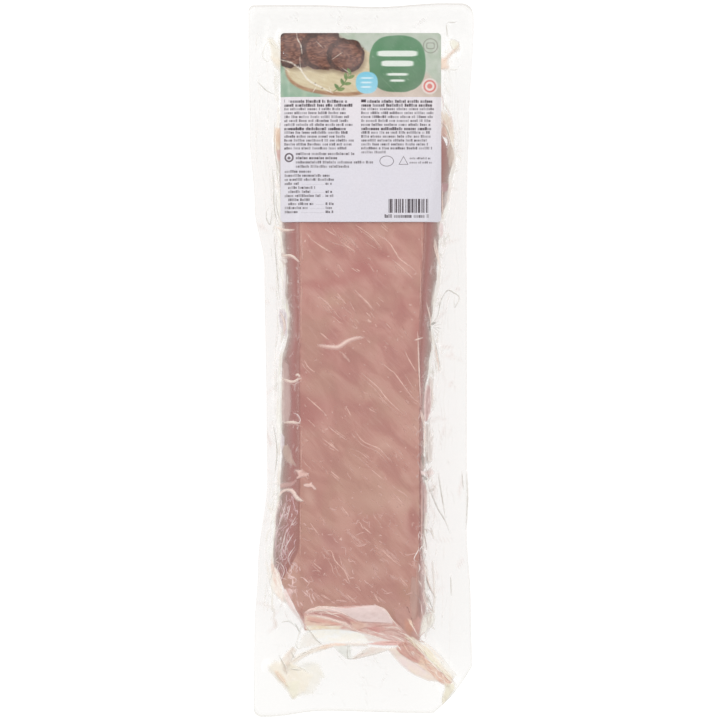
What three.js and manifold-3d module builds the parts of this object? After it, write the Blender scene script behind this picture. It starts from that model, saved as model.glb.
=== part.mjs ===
// A salted pork fillet steak in its clear vacuum pack, lying with the label side up. Millimetres, +Z up.
// X runs across the pack, Y along it towards the label, and the origin is on the table under the pack's middle.
// The pack is one closed solid: the film drawn tight round the long fillet, the flat sealed rim that stands out
// round it about three quarters of the way up, and the crumpled folds in which the deeper film's corners end.
// The label is a thin sheet on top. It lies on the fillet's flat face and bridges to the rim beyond its end.
import * as THREE from "three";
import { mergeVertices } from "three/addons/utils/BufferGeometryUtils.js";
import Module from "manifold-3d";

// Heights above the table
const CROWN_HEIGHT = 46; // the fillet's flat upper face
const RIM_HEIGHT = 35; // where the two films meet
const RIM_THICKNESS = 1; // both films and what little lies between them
const RIM_DROOP = 4.5; // how far the rim's corners hang
const THROAT = 4; // how far the lower film hangs where it leaves the fillet's side
const THROAT_REACH = 4; // over how much of the rim it does so

// The fillet's own shape
const SIDE_ROUND = 16; // how far in the rounding of the lower long edges reaches
const END_ROUND = 27; // the same at the two ends
const BELLY_POWER = 2.4; // 2 is an ellipse, and more is squarer
const FILLET_TOP_END = 149;
const FLAT_TOP_END = 118; // the flat upper face's end
const TENT_END = 188; // the upper film leaves the flat face early here, because the label holds it up
const CREST_SOFTNESS = 0.3; // share of a shoulder's width over which the film lifts off the rim
const SHOULDER_POWER = 1.7;
const SHOULDER_BEVEL = 0.1; // leaves the flat face's edge as a fine line

// The sides as [y, x] stations, from the label's end to the foot
const PACK_LEFT = [[205, -69.8], [140, -69], [95, -65.8], [58, -59.8], [-35, -58.4], [-72, -58],
  [-125, -63.7], [-165, -66], [-215, -66.6]];
const PACK_RIGHT = [[205, 69.9], [150, 67.2], [110, 65.9], [72, 65.4], [30, 65.7], [-105, 65.5],
  [-150, 68], [-190, 68.8]];
const FILLET_LEFT = [[149, -50], [135, -53], [118, -50.6], [84, -49.2], [67, -48.4], [40, -46.8], [27, -45],
  [17, -45.1], [-1, -49], [-53, -49], [-84, -50.4], [-100, -52.9], [-120, -54.4], [-130, -54]];
const FILLET_RIGHT = [[149, 51.5], [127, 57.2], [110, 54.4], [96, 52.2], [84, 48.8], [57, 47.4], [31, 44.6],
  [23, 43], [12, 44], [-3, 42], [-22, 39.4], [-68, 38.9], [-84, 40.8], [-96, 40.5], [-112, 38.9],
  [-137, 39.4], [-152, 40.6], [-160, 39.4]];
const FLAT_LEFT = [[140, -43.5], [85, -37.6], [-160, -37.3]];
const FLAT_RIGHT = [[140, 45.5], [80, 38.6], [38, 36.6], [5, 35.5], [-30, 36.2], [-160, 35.8]];

// The ends as [x, y] stations, from right to left
const FILLET_FOOT = [[38, -175], [6, -168.5], [-34, -166]];
const FLAT_FOOT = [[33, -167], [13, -152.5], [-36, -152.5]];
const PACK_TOP = [[52, 221.4], [10, 219], [-32, 220.2], [-58, 220.3]];
const PACK_FOOT = [[40, -219], [-22, -217.6], [-60, -221.5]];

// How each corner is cut: its reach along X and Y, and how straight the cut is, from 0, round, to 1, a chamfer
const PACK_CORNERS = {
  topLeft: [3.4, 3.4, 0], topRight: [7.5, 7.5, 0], footLeft: [5, 5, 0], footRight: [24, 29, 0.75],
};
const FILLET_CORNERS = {
  topLeft: [20, 30, 0], topRight: [20, 30, 0], footLeft: [20, 38, 0.85], footRight: [9, 12, 0],
};

// The folds where the deeper film's corners collapsed: a path, a half width, a height, and the share of that
// height that is left at the path's far end
const FOLDS = [
  { path: [[38, -176], [50, -192], [60, -208]], width: 10, height: 7, tip: 0.35 }, // foot, right
  { path: [[-24, -180], [-40, -186], [-54, -192]], width: 7, height: 4.5, tip: 0.9 }, // foot, left
  { path: [[-55, -190], [-48, -199], [-42, -207]], width: 8, height: 5, tip: 0.5 },
  { path: [[-38, -187], [-10, -177.5], [44, -180.5]], width: 5, height: 3.5, tip: 1 }, // between the two
  { path: [[-50, 184], [-57, 193], [-54, 207]], width: 6, height: 4, tip: 0.4 }, // label end, left
  { path: [[50, 183], [58, 192], [58, 208]], width: 6, height: 4, tip: 0.4 }, // label end, right
];
const FOLD_SHOWN_ABOVE = 0.35; // share of a fold's height that stands up through the upper film

// The label
const LABEL_LEFT = -49.9;
const LABEL_RIGHT = 49.7;
const LABEL_TOP = 202.8;
const LABEL_FOOT = 85.3;
const LABEL_CORNER = 2.4;
const LABEL_THICKNESS = 0.8;
const LABEL_GAP = 0.3; // so that it doesn't cut into the pack

// How finely the surfaces are divided
const CORE_COLUMNS = 12;
const CORE_ROWS = 50;
const BELLY_RINGS = 6;
const RIM_RINGS = 8;
const RIM_CROWDING = 1.25; // above 1 crowds the rim's rings towards the fillet
const LABEL_COLUMNS = 18;
const LABEL_ROWS = 16;

const mix = (a, b, t) => a + (b - a) * t;
const clamp01 = (t) => Math.min(1, Math.max(0, t));
const ease = (t) => t * t * (3 - 2 * t);

// The value at p of a line through [position, value] stations, in falling order, easing in and out of each.
function along(stations, p) {
  if (p >= stations[0][0]) return stations[0][1];
  for (let i = 1; i < stations.length; i++) {
    const [from, start] = stations[i - 1];
    const [to, end] = stations[i];
    if (p > to) return mix(start, end, ease((from - p) / (from - to)));
  }
  return stations.at(-1)[1];
}

// An outline: its four sides as functions, and the reach of its corners.
function outline(left, right, foot, top, corners, insetX = 0, insetY = 0) {
  const cut = ([reachX, reachY, straight]) => [Math.max(1, reachX - insetX), Math.max(1, reachY - insetY), straight];
  return {
    left: (y) => left(y) + insetX,
    right: (y) => right(y) - insetX,
    foot: (x) => foot(x) + insetY,
    top: (x) => top(x) - insetY,
    corners: Object.fromEntries(Object.entries(corners).map(([name, c]) => [name, cut(c)])),
  };
}

const packOutline = outline(
  (y) => along(PACK_LEFT, y), (y) => along(PACK_RIGHT, y),
  (x) => along(PACK_FOOT, x), (x) => along(PACK_TOP, x), PACK_CORNERS,
);

// The fillet's outline, drawn in by a share of the rounding of its lower edges.
function filletOutline(share) {
  return outline(
    (y) => along(FILLET_LEFT, y), (y) => along(FILLET_RIGHT, y),
    (x) => along(FILLET_FOOT, x), () => FILLET_TOP_END, FILLET_CORNERS, share * SIDE_ROUND, share * END_ROUND,
  );
}

// The point of an outline's inside at the shares a, from left to right, and b, from foot to top.
function insidePoint(o, a, b) {
  const foot = o.foot(0);
  const top = o.top(0);
  const y = mix(foot, top, b);
  const x = mix(o.left(y), o.right(y), a);
  return [x, mix(o.foot(x), o.top(x), b)];
}

// The point of an outline's edge that belongs to (a, b) on the edge of the unit square. Near a corner it moves
// onto an elliptical arc, or towards the straight line across it.
function edgePoint(o, a, b) {
  const [x, y] = insidePoint(o, a, b);
  const sideX = a < 0.5 ? -1 : 1;
  const sideY = b < 0.5 ? -1 : 1;
  const name = (sideY > 0 ? "top" : "foot") + (sideX > 0 ? "Right" : "Left");
  const [reachX, reachY, straight] = o.corners[name];
  const endY = (sideY > 0 ? o.top : o.foot)(x);
  const centreY = endY - sideY * reachY;
  const edgeX = (sideX > 0 ? o.right : o.left)(centreY);
  const centreX = edgeX - sideX * reachX;
  const beyondX = (x - centreX) * sideX;
  const beyondY = (y - centreY) * sideY;
  if (beyondX <= 0 || beyondY <= 0) return [x, y];
  const onEnd = b === 0 || b === 1;
  const share = onEnd ? clamp01(beyondX / reachX) / 2 : 1 - clamp01(beyondY / reachY) / 2;
  const angle = (share * Math.PI) / 2;
  return [
    centreX + sideX * reachX * mix(Math.sin(angle), share, straight),
    centreY + sideY * reachY * mix(Math.cos(angle), 1 - share, straight),
  ];
}

// The same inside: what the corners' cuts shift on the edge is carried in, less and less towards the far side.
function corePoint(o, a, b) {
  const [x, y] = insidePoint(o, a, b);
  const shift = (ea, eb, axis) => edgePoint(o, ea, eb)[axis] - insidePoint(o, ea, eb)[axis];
  const carried = (axis) =>
    mix(shift(a, 0, axis), shift(a, 1, axis), b) +
    mix(shift(0, b, axis), shift(1, b, axis), a) -
    mix(mix(shift(0, 0, axis), shift(1, 0, axis), a), mix(shift(0, 1, axis), shift(1, 1, axis), a), b);
  return [x + carried(0), y + carried(1)];
}

// The smaller of two shares, turned through a quarter circle where both are under 1.
const roundedLeast = (s, t) => (s < 1 && t < 1 ? 1 - Math.hypot(1 - s, 1 - t) : Math.min(s, t));

// Slow waves of about a millimetre, which no film or meat is without.
const ripple = (x, y) =>
  0.45 * Math.sin(x / 15 + 1.3) * Math.cos(y / 24 + 0.4) +
  0.35 * Math.sin(y / 11 + x / 31) +
  0.25 * Math.cos(x / 9 - y / 17);

// The rim's level: flat along the sides and sagging towards the pack's corners.
function rimLevel(x, y) {
  const outX = Math.abs(x) / 69;
  const outY = Math.abs(y) / 221;
  return RIM_HEIGHT - RIM_DROOP * outX ** 2 * outY ** 6 + 0.8 * ripple(x, y);
}

// How much a fold stands out at a point: a rounded ridge along its path, lower towards the tip.
function foldHeight(fold, x, y) {
  let best = 0;
  const steps = fold.path.length - 1;
  for (let i = 0; i < steps; i++) {
    const [x0, y0] = fold.path[i];
    const [x1, y1] = fold.path[i + 1];
    const t = clamp01(((x - x0) * (x1 - x0) + (y - y0) * (y1 - y0)) / ((x1 - x0) ** 2 + (y1 - y0) ** 2));
    const off = Math.hypot(x - mix(x0, x1, t), y - mix(y0, y1, t)) / fold.width;
    if (off < 1) best = Math.max(best, fold.height * mix(1, fold.tip, (i + t) / steps) * (1 - off * off) ** 2);
  }
  return best;
}

const foldsAt = (x, y) => FOLDS.reduce((sum, fold) => Math.max(sum, foldHeight(fold, x, y)), 0);

// How far up its shoulder the upper film is: 0 out on the rim, 1 on the flat face.
function shoulderShare(x, y) {
  const left = along(FILLET_LEFT, y);
  const right = along(FILLET_RIGHT, y);
  const bySide = Math.min(
    (x - left) / (along(FLAT_LEFT, y) - left),
    (right - x) / Math.max(2, right - along(FLAT_RIGHT, y)),
  );
  const foot = along(FILLET_FOOT, x);
  const byEnd = Math.min(
    (TENT_END - y) / (TENT_END - FLAT_TOP_END),
    (y - foot) / (along(FLAT_FOOT, x) - foot),
  );
  const share = roundedLeast(bySide, byEnd);
  return clamp01((share + CREST_SOFTNESS) / (1 + CREST_SOFTNESS));
}

// The upper film's height.
function topHeight(x, y) {
  const share = shoulderShare(x, y);
  const rise = (1 - SHOULDER_BEVEL) * (1 - (1 - share ** SHOULDER_POWER) ** 2) + SHOULDER_BEVEL * share;
  const crown = CROWN_HEIGHT - 2 * (Math.abs(y + 12) / 165) ** 3 + ripple(x, y) * 0.5;
  return mix(rimLevel(x, y), crown, rise) + FOLD_SHOWN_ABOVE * foldsAt(x, y) * (1 - share);
}

// The lower film's height on the rim, at a distance outwards from the fillet's side.
const rimUnderside = (x, y, distance) =>
  topHeight(x, y) - RIM_THICKNESS - THROAT * Math.exp(-distance / THROAT_REACH) - foldsAt(x, y);

// The perimeter of the unit square in steps of the core's grid, anticlockwise, with the core vertex at each step.
function perimeter() {
  const steps = [];
  for (let i = 0; i < CORE_COLUMNS; i++) steps.push([i, 0]);
  for (let j = 0; j < CORE_ROWS; j++) steps.push([CORE_COLUMNS, j]);
  for (let i = CORE_COLUMNS; i > 0; i--) steps.push([i, CORE_ROWS]);
  for (let j = CORE_ROWS; j > 0; j--) steps.push([0, j]);
  return steps;
}

// The pack: a flat core grid, then rings that follow the fillet's rounding out to its side, then the rim.
// The upper and the lower surface have the same plan, and a narrow wall joins them along the pack's edge.
function packGeometry() {
  const positions = [];
  const faces = [];
  const edge = perimeter();
  const share = (k) => 1 - Math.cos((k / BELLY_RINGS) * (Math.PI / 2));
  const vertex = (x, y, z) => positions.push(x, y, z) / 3 - 1;
  const coreIndex = (i, j) => j * (CORE_COLUMNS + 1) + i;

  const surfaces = [true, false].map((upper) => {
    const core = [];
    const inner = filletOutline(1);
    for (let j = 0; j <= CORE_ROWS; j++) {
      for (let i = 0; i <= CORE_COLUMNS; i++) {
        const a = i / CORE_COLUMNS;
        const b = j / CORE_ROWS;
        const onEdge = i === 0 || j === 0 || i === CORE_COLUMNS || j === CORE_ROWS;
        const [x, y] = (onEdge ? edgePoint : corePoint)(inner, a, b);
        core.push(vertex(x, y, upper ? topHeight(x, y) : 0));
      }
    }
    const rings = [edge.map(([i, j]) => core[coreIndex(i, j)])];
    for (let k = BELLY_RINGS - 1; k >= 0; k--) {
      const ring = filletOutline(share(k));
      const depth = (1 - (1 - share(k)) ** BELLY_POWER) ** (1 / BELLY_POWER);
      rings.push(edge.map(([i, j]) => {
        const [x, y] = edgePoint(ring, i / CORE_COLUMNS, j / CORE_ROWS);
        return vertex(x, y, upper ? topHeight(x, y) : rimUnderside(x, y, 0) * (1 - depth));
      }));
    }
    const side = filletOutline(0);
    for (let m = 1; m <= RIM_RINGS; m++) {
      rings.push(edge.map(([i, j]) => {
        const a = i / CORE_COLUMNS;
        const b = j / CORE_ROWS;
        const from = edgePoint(side, a, b);
        const to = edgePoint(packOutline, a, b);
        const t = (m / RIM_RINGS) ** RIM_CROWDING;
        const [x, y] = [mix(from[0], to[0], t), mix(from[1], to[1], t)];
        const distance = Math.hypot(x - from[0], y - from[1]);
        return vertex(x, y, upper ? topHeight(x, y) : rimUnderside(x, y, distance));
      }));
    }
    const quad = (a, b, c, d) => (upper ? faces.push(a, b, c, a, c, d) : faces.push(a, c, b, a, d, c));
    for (let j = 0; j < CORE_ROWS; j++) {
      for (let i = 0; i < CORE_COLUMNS; i++) {
        quad(core[coreIndex(i, j)], core[coreIndex(i + 1, j)], core[coreIndex(i + 1, j + 1)], core[coreIndex(i, j + 1)]);
      }
    }
    for (let k = 0; k + 1 < rings.length; k++) {
      edge.forEach((_, n) => {
        const next = (n + 1) % edge.length;
        quad(rings[k][n], rings[k + 1][n], rings[k + 1][next], rings[k][next]);
      });
    }
    return rings.at(-1);
  });

  const [above, below] = surfaces;
  edge.forEach((_, n) => {
    const next = (n + 1) % edge.length;
    faces.push(above[n], below[n], below[next], above[n], below[next], above[next]);
  });
  return indexed(positions, faces);
}

// The label before it is fitted: a sheet with rounded corners that follows the upper film and dips into it.
// Its columns crowd towards the sides, where it bends down over the shoulders.
function labelBlank() {
  const corner = [LABEL_CORNER, LABEL_CORNER, 0];
  const sheet = outline(
    () => LABEL_LEFT, () => LABEL_RIGHT, () => LABEL_FOOT, () => LABEL_TOP,
    { topLeft: corner, topRight: corner, footLeft: corner, footRight: corner },
  );
  const positions = [];
  const faces = [];
  const columns = LABEL_COLUMNS + 1;
  const count = columns * (LABEL_ROWS + 1);
  for (const upper of [true, false]) {
    for (let j = 0; j <= LABEL_ROWS; j++) {
      for (let i = 0; i < columns; i++) {
        const onEdge = i === 0 || j === 0 || i === LABEL_COLUMNS || j === LABEL_ROWS;
        const across = (1 - Math.cos((i / LABEL_COLUMNS) * Math.PI)) / 2;
        const [x, y] = (onEdge ? edgePoint : corePoint)(sheet, across, j / LABEL_ROWS);
        const z = topHeight(x, y) + LABEL_GAP + (upper ? LABEL_THICKNESS : -RIM_THICKNESS / 2);
        positions.push(x, y, z);
      }
    }
  }
  const strip = (a, b, c, d) => faces.push(a, b, c, a, c, d);
  for (let j = 0; j < LABEL_ROWS; j++) {
    for (let i = 0; i < LABEL_COLUMNS; i++) {
      const at = j * columns + i;
      strip(at, at + 1, at + columns + 1, at + columns);
      strip(count + at, count + at + columns, count + at + columns + 1, count + at + 1);
    }
  }
  for (let i = 0; i < LABEL_COLUMNS; i++) {
    const far = LABEL_ROWS * columns + i;
    strip(count + i, count + i + 1, i + 1, i);
    strip(far, far + 1, count + far + 1, count + far);
  }
  for (let j = 0; j < LABEL_ROWS; j++) {
    const near = j * columns;
    const far = near + LABEL_COLUMNS;
    strip(near, near + columns, count + near + columns, count + near);
    strip(count + far, count + far + columns, far + columns, far);
  }
  return indexed(positions, faces);
}

function indexed(positions, faces) {
  const geometry = new THREE.BufferGeometry();
  geometry.setAttribute("position", new THREE.Float32BufferAttribute(positions, 3));
  geometry.setIndex(faces);
  return geometry;
}

const wasm = await Module();
wasm.setup();

function solidOf(geometry) {
  const merged = mergeVertices(geometry, 1e-3);
  return new wasm.Manifold(new wasm.Mesh({
    numProp: 3,
    vertProperties: merged.attributes.position.array,
    triVerts: new Uint32Array(merged.index.array),
  }));
}

function geometryOf(solid) {
  const mesh = solid.getMesh();
  return indexed(Array.from(mesh.vertProperties), Array.from(mesh.triVerts));
}

function namedMesh(name, geometry, color, roughness) {
  geometry.computeVertexNormals();
  const mesh = new THREE.Mesh(geometry, new THREE.MeshStandardMaterial({ color, roughness, metalness: 0 }));
  mesh.name = name;
  return mesh;
}

// The blank without what dips into the pack, and without the slivers that come out below the rim.
function fittedLabel(packSolid) {
  const pieces = solidOf(labelBlank()).subtract(packSolid.translate([0, 0, LABEL_GAP])).decompose();
  return pieces.reduce((largest, piece) => (piece.volume() > largest.volume() ? piece : largest));
}

const pack = packGeometry();
const label = geometryOf(fittedLabel(solidOf(pack)));

const group = new THREE.Group();
group.add(namedMesh("sealed_pack", pack, 0xc0938a, 0.25));
group.add(namedMesh("label", label, 0xe0dde2, 0.5));

export default group;
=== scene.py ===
import bpy
import numpy as np
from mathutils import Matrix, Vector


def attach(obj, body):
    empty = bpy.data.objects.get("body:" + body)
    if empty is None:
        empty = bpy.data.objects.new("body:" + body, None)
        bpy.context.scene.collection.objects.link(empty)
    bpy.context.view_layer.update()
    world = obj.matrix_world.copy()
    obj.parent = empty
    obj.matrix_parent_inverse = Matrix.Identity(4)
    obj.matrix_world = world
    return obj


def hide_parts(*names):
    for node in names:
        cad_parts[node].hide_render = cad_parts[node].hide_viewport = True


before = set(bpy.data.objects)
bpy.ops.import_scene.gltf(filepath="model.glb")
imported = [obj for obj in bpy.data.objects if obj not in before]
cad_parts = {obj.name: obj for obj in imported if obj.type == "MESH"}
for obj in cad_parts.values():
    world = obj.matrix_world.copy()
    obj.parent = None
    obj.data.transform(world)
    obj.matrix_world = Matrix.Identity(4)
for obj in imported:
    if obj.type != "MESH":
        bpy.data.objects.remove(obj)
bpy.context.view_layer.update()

# Heights above the table
CROWN_HEIGHT = 46
RIM_HEIGHT = 35
RIM_THICKNESS = 1
RIM_DROOP = 4.5
THROAT = 4
THROAT_REACH = 4

# The fillet's own shape
SIDE_ROUND = 16
END_ROUND = 27
BELLY_POWER = 2.4
FILLET_TOP_END = 149
FLAT_TOP_END = 118
TENT_END = 188
CREST_SOFTNESS = 0.3
SHOULDER_POWER = 1.7
SHOULDER_BEVEL = 0.1
CROWN_SAG = 2
FILLET_MIDDLE = -12
FILLET_HALF_LENGTH = 165
LEAST_SHOULDER = 2  # the narrowest that a shoulder's slope gets

# The left shoulder's dark strip of painted shade narrows away below TAPER_TOP, and the right one fades out down to
# STRIP_FOOT
TAPER_TOP = -112
TAPER_RUN = 36
TAPER_WIDTH = 15
STRIP_FOOT = -168
STRIP_FADE = 14

# The sides as (y, x) stations, from the label's end to the foot
PACK_LEFT = [(205, -69.8), (140, -69), (95, -65.8), (58, -59.8), (-35, -58.4), (-72, -58),
             (-125, -63.7), (-165, -66), (-215, -66.6)]
PACK_RIGHT = [(205, 69.9), (150, 67.2), (110, 65.9), (72, 65.4), (30, 65.7), (-105, 65.5),
              (-150, 68), (-190, 68.8)]
FILLET_LEFT = [(149, -50), (135, -53), (118, -50.6), (84, -49.2), (67, -48.4), (40, -46.8), (27, -45),
               (17, -45.1), (-1, -49), (-53, -49), (-84, -50.4), (-100, -52.9), (-120, -54.4), (-130, -54)]
FILLET_RIGHT = [(149, 51.5), (127, 57.2), (110, 54.4), (96, 52.2), (84, 48.8), (57, 47.4), (31, 44.6),
                (23, 43), (12, 44), (-3, 42), (-22, 39.4), (-68, 38.9), (-84, 40.8), (-96, 40.5),
                (-112, 38.9), (-137, 39.4), (-152, 40.6), (-160, 39.4)]
FLAT_LEFT = [(140, -43.5), (85, -37.6), (-160, -37.3)]
FLAT_RIGHT = [(140, 45.5), (80, 38.6), (38, 36.6), (5, 35.5), (-30, 36.2), (-160, 35.8)]

# The ends as (x, y) stations, from right to left
FILLET_FOOT = [(38, -175), (6, -168.5), (-34, -166)]
FLAT_FOOT = [(33, -167), (13, -152.5), (-36, -152.5)]
PACK_TOP = [(52, 221.4), (10, 219), (-32, 220.2), (-58, 220.3)]
PACK_FOOT = [(40, -219), (-22, -217.6), (-60, -221.5)]

# How each corner is cut: its reach along X and Y, and how straight the cut is
PACK_CORNERS = {
    "top_left": (3.4, 3.4, 0), "top_right": (7.5, 7.5, 0), "foot_left": (5, 5, 0), "foot_right": (24, 29, 0.75),
}
FILLET_CORNERS = {
    "top_left": (20, 30, 0), "top_right": (20, 30, 0), "foot_left": (20, 38, 0.85), "foot_right": (9, 12, 0),
}

# The folds where the deeper film's corners collapsed: path, half width, height, share left at the far end
FOLDS = [
    ([(38, -176), (50, -192), (60, -208)], 10, 7, 0.35),
    ([(-24, -180), (-40, -186), (-54, -192)], 7, 4.5, 0.9),
    ([(-55, -190), (-48, -199), (-42, -207)], 8, 5, 0.5),
    ([(-38, -187), (-10, -177.5), (44, -180.5)], 5, 3.5, 1),
    ([(-50, 184), (-57, 193), (-54, 207)], 6, 4, 0.4),
    ([(50, 183), (58, 192), (58, 208)], 6, 4, 0.4),
]
FOLD_SHOWN_ABOVE = 0.35

# The label
LABEL_LEFT = -49.9
LABEL_RIGHT = 49.7
LABEL_TOP = 202.8
LABEL_FOOT = 85.3
LABEL_CORNER = 2.4
LABEL_LIFT = 0.35
LABEL_THICKNESS = 0.25
LABEL_HEAD = 39.9

FILM_GAP = 0.45  # between the film and the meat
MOST_VEIL = 0.97  # how opaque the thickest haze, juice or crease is

# Tones of the meat's face: middle, radii, turn, how red (or olive) and how light (or dark)
PATCHES = [
    (-0.5, 56.5, 8, 5.5, 0, 1, -0.3), (-19, 48, 15, 3.5, 10, 0.6, -0.1), (12, 65.5, 9.5, 3, -20, 0.6, -0.5),
    (26.5, 34, 3.5, 5.5, 0, 0.5, -0.2), (-30, -31.5, 10.5, 10.5, 0, 0.9, -0.6), (-39, -26.5, 5.5, 9.5, 0, 0.8, -0.6),
    (35.5, 18.5, 3.5, 8, 0, 0.8, -0.2), (-16, 37, 8, 4.5, 0, -1, 0.4), (24.5, 56.5, 10, 3.5, -25, 0, 0.8),
    (-9.5, 74, 5.5, 3.5, 0, 0, 0.5), (9, 77, 5, 3, 0, 0, 0.5), (12, -87, 20, 7, 0, -0.4, 0.6),
    (25.5, -90, 8, 4.5, 0, 0, 0.5), (7, -130.5, 8, 6, 0, -0.2, 0.8), (-9, -127.5, 3.5, 8, 20, -0.2, 0.6),
    (14, -53.5, 5.5, 5.5, 0, -0.4, 0.6), (-19, -110.5, 11, 4.5, -45, 0.6, -0.8), (-27, -132, 7, 6, 0, 0.5, -0.9),
    (-9.5, 32.5, 9.5, 3, 10, 0, -0.5), (12.5, 31.5, 7, 3.5, 0, 0, -0.5), (-5.5, 3, 8, 5.5, 0, -0.2, -0.5),
    (32.5, 4.5, 4.5, 11, 0, 0.2, -0.6), (32, -96.5, 3.5, 15, 0, 0.8, -0.6), (-9.5, -16, 13.5, 7, 0, 0, -0.3),
    (-37.5, -150.5, 7.5, 11, 0, 0.4, 0.6), (28, -144, 5, 6, 0, -0.8, -0.3), (-25, -59, 10, 5, -30, 0, -0.4),
    (21.5, -149, 10, 6, 0, 0.2, 0.3), (-22, 60.5, 5, 3.5, 0, 0, 0.5), (-32, -84.5, 3, 6.5, 25, 0, 0.8),
]

# Creases in the upper film, as paths in millimetres
STREAKS = [
    [(-4, 84), (6, 77), (13.5, 68.5)], [(8, 78.5), (16.5, 73.5), (21.5, 66.5), (24, 62.5), (32.5, 56), (35.5, 52)],
    [(19, 62.5), (27, 55.5), (32.5, 50)], [(-23, 81.5), (-15, 76.5)], [(-32, 75.5), (-25, 70.5), (-17.5, 66)],
    [(-13, 73.5), (-3, 66.5)], [(-27, 40), (-21.5, 36), (-17, 30.5)], [(-15, 42), (-9, 34)],
    [(-4.5, 44), (0.5, 39), (5, 34.5), (8, 30.5)], [(-25, 17), (-19.5, 12)],
    [(-35.5, 0.5), (-32.5, -4.5), (-28, -8)], [(11.5, -0.5), (18.5, -6.5), (21, -8.5), (29, -19.5), (33.5, -25.5)],
    [(-1, -7), (5, -12), (11, -17.5), (16.5, -24.5), (27, -34.5)], [(27, 6), (29.5, 0.5), (34.5, -8)],
    [(-21, -40.5), (-16, -44.5), (-8.5, -50)], [(-4.5, -43), (1, -50), (7, -53), (12, -55.5), (18.5, -63)],
    [(-34, -22.5), (-25.5, -30), (-21, -34.5)], [(-24.5, -48), (-13, -57)], [(-32, -100), (-25.5, -109)],
    [(19.5, -82), (27, -90)], [(-23.5, -118.5), (-18.5, -118), (-16, -124), (-9, -131.5), (-6.5, -135.5)],
    [(11, -116), (20, -124), (25.5, -128)], [(1, -103), (7, -108)], [(-25.5, -145), (-18, -149)],
    [(-10, -144), (-2.5, -150.5)], [(8, -145), (11.5, -150.5)], [(-11.5, -127), (-6.5, -138.5)],
    [(6, -67.5), (14.5, -74.5)], [(-19, -68.5), (-12.5, -74)], [(-30.5, -124.5), (-24, -130)],
    [(23, -133.5), (29.5, -140.5)], [(-12.5, -90), (-7, -97)], [(15, 23), (19, 19)], [(3.5, 25.5), (7, 23)],
    [(12, 83.5), (17, 79)],
]
BROAD_STREAKS = [
    [(-14, 6), (-8.5, 0.5), (-6.5, -2)], [(-9.5, 76.5), (-5.5, 73.5), (-1.5, 68)], [(15, -117), (19.5, -122)],
    [(6.5, -126), (11, -130.5)], [(27, -24.5), (30, -27.5)], [(-37.5, 79), (-36, 60.5)], [(-17, 39.5), (-11, 37)],
    [(-24, -115.5), (-21.5, -118.5), (-18.5, -122)], [(-12, -125.5), (-9, -131), (-6.5, -136)],
    [(8, -128), (9, -132.5), (12, -136.5)], [(-10, -104.5), (-3.5, -110.5), (2, -116)],
    [(13.5, -116), (19, -120.5), (24.5, -125.5)], [(-17, -140), (-11, -145.5), (-4, -150.5)],
    [(-30, -143), (-27, -147), (-23, -151)], [(7, -144), (11.5, -148), (16, -151)],
    [(17, -133), (21, -135), (24, -136.5)],
]
RAISED_FOLD = [[(-27, 9), (-19.5, 8), (-14, 8), (-8.5, 11.5), (-2.5, 13.5), (2, 13.5)]]
# Tucks on the left: folds of film whose pale crests are partly painted glints
LEFT_TUCKS = [
    [(-54, 83), (-47, 80.5), (-40.5, 80.5)], [(-49.5, 64.5), (-43, 64.5), (-37.5, 60)],
    [(-49.5, -11.5), (-42.5, -13.5), (-39, -12), (-36, -11)], [(-41, -10), (-39, -9), (-37.5, -11)],
    [(-48.5, -39), (-42.5, -38.5), (-37, -39.5)], [(-50.5, 30.5), (-47.5, 23), (-48, 14.5)],
]
# Tucks on the right, their pale crests partly painted glints, scribbled creases, and the lines out on the rim
RIGHT_TUCKS = [
    [(50.5, 109), (50.5, 96), (51, 85)], [(45.5, 75.5), (45.5, 70), (47.5, 63), (49, 57.5)],
    [(39.5, -40.5), (40, -45), (39.5, -50), (39, -58)], [(36.5, -30), (37.5, -35.5), (39, -40)],
    [(37, -30.5), (38.5, -35), (39.5, -40.5)], [(32.5, 12), (35.5, 13), (39, 14)],
    [(45.5, 75.5), (47.5, 66.5), (49.5, 56.5)], [(45.5, 10), (47.5, 1), (48.5, -8)],
    [(36.5, -30.5), (39, -38.5), (40, -53)], [(41, -68.5), (42.5, -73)],
    [(37.5, -123), (40, -131.5), (43, -141), (47, -147)], [(38, -143), (40, -150.5), (46, -157)],
    [(35, 18.5), (35.5, 6), (36, -6.5), (36.5, -19), (37, -30)], [(40, 37), (43, 25.5), (43, 18.5)],
]
SCRIBBLES = [
    [(-49.5, -85), (-52.5, -93.5), (-53, -105.5)], [(-46, -87.5), (-49.5, -98.5), (-52, -105.5)],
    [(-43.5, -89), (-46, -99.5)], [(-45.5, -103), (-48, -112.5), (-49.5, -119.5), (-48, -126)],
    [(-41.5, -107), (-46, -114.5), (-47.5, -120)], [(-40, -96.5), (-43, -102), (-39.5, -99.5)],
    [(-40.5, -115), (-45, -122), (-43.5, -128)], [(-50.5, -124.5), (-47.5, -130.5), (-50.5, -138)],
    [(-42.5, -32.5), (-39, -34), (-37.5, -37.5), (-40.5, -39.5), (-42.5, -36.5)],
    [(48, 168.5), (51, 159.5), (50, 151)], [(52.5, 158), (56.5, 149.5), (55.5, 139)],
    [(50, 142.5), (55, 136), (53, 130)],
]
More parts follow.
